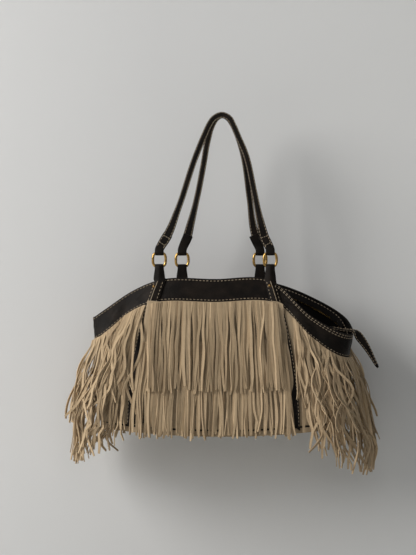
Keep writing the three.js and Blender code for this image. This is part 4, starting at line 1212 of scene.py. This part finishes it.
def make_stage():
    """A pale floor below the bag and a pale backdrop behind it, which can't be seen from behind. The
    backdrop's colour grows lighter towards the right: painted light, lifting the side that the lamp on the
    left lights less.
    """
    wall_finish = Finish("stage_wall", Roughness=1, Specular_IOR_Level=0)
    across = wall_finish.node("ShaderNodeSeparateXYZ", None, {0: wall_finish.place}, out="X")
    # painted light: the backdrop is coloured lighter towards the right, to lift the dimmer light and the
    # bag's shadow there
    shade = wall_finish.ramp(across, -0.1, 0.42)
    wall_finish.set(Base_Color=wall_finish.blend(shade, (0.68, 0.68, 0.675, 1), (0.8, 0.8, 0.785, 1)))
    behind = wall_finish.node("ShaderNodeNewGeometry", out="Backfacing")
    clear = wall_finish.node("ShaderNodeBsdfTransparent")
    tree = wall_finish.tree
    shader = Value(wall_finish, wall_finish.shader.outputs[0])
    mixed = wall_finish.node("ShaderNodeMixShader", None, {0: behind, 1: shader, 2: clear})
    tree.links.new(mixed.socket, tree.nodes["Material Output"].inputs["Surface"])
    floor_finish = Finish("stage_floor", Roughness=1, Specular_IOR_Level=0, Base_Color=(0.66, 0.66, 0.64, 1))

    def sheet(name, corners, material):
        mesh = bpy.data.meshes.new(name)
        mesh.from_pydata(corners, [], [(0, 1, 2, 3)])
        mesh.materials.append(material)
        in_scene(name, mesh)

    back, floor, reach = 0.1, -0.74, 2.6
    upright = [(-reach, back, floor), (reach, back, floor), (reach, back, 1.4), (-reach, back, 1.4)]
    level = [(-reach, -3, floor), (reach, -3, floor), (reach, 3, floor), (-reach, 3, floor)]
    sheet("backdrop", upright, wall_finish.material)
    sheet("floor", level, floor_finish.material)


def make_lights():
    """A broad soft lamp on the left and a little above, a weak one in front, and an even pale world."""
    world = bpy.data.worlds.new("even_world")
    world.use_nodes = True
    world.node_tree.nodes["Background"].inputs["Color"].default_value = (0.93, 0.96, 1, 1)
    world.node_tree.nodes["Background"].inputs["Strength"].default_value = 0.15
    bpy.context.scene.world = world
    lamps = (
        ("key", (-2.5, -1.3, 0.9), (0.0, 0.0, -0.3), 1.8, 92, (1, 0.985, 0.965)),
        ("fill", (0.15, -2.4, 0.35), (0.0, 0.0, -0.3), 1.2, 3.5, (0.95, 0.97, 1)),
    )
    for name, place, target, size, power, colour in lamps:
        light = bpy.data.lights.new(name, "AREA")
        light.shape = "DISK"
        light.size = size
        light.energy = power
        light.color = colour
        lamp = in_scene(name, light)
        lamp.location = place
        ray = np.array(target) - place
        lamp.rotation_euler = (
            math.acos(-ray[2] / np.linalg.norm(ray)), 0, math.atan2(ray[1], ray[0]) - math.pi / 2
        )


def make_camera():
    """A long lens straight at the front, whose picture is 860 mm high where the front band is."""
    distance, plane_y, height = 5000, -28, 860
    data = bpy.data.cameras.new("front_camera")
    data.sensor_fit = "VERTICAL"
    data.sensor_height = 24
    data.lens = data.sensor_height * distance / height
    data.clip_end = 20
    camera = in_scene("front_camera", data)
    camera.location = (-22.5 * MM, (plane_y - distance) * MM, -246.5 * MM)
    camera.rotation_euler = (math.pi / 2, 0, 0)
    bpy.context.scene.camera = camera


bpy.context.scene.view_settings.view_transform = "Standard"
make_camera()
make_lights()
make_stage()
make_bands_and_panels()
make_base()
make_lining()
make_fringe()
make_flaps()
make_straps()
make_rings()
make_rivets()
make_handle("front", FRONT_STRAPS, -1)
make_handle("back", BACK_STRAPS, 1)
make_zip()
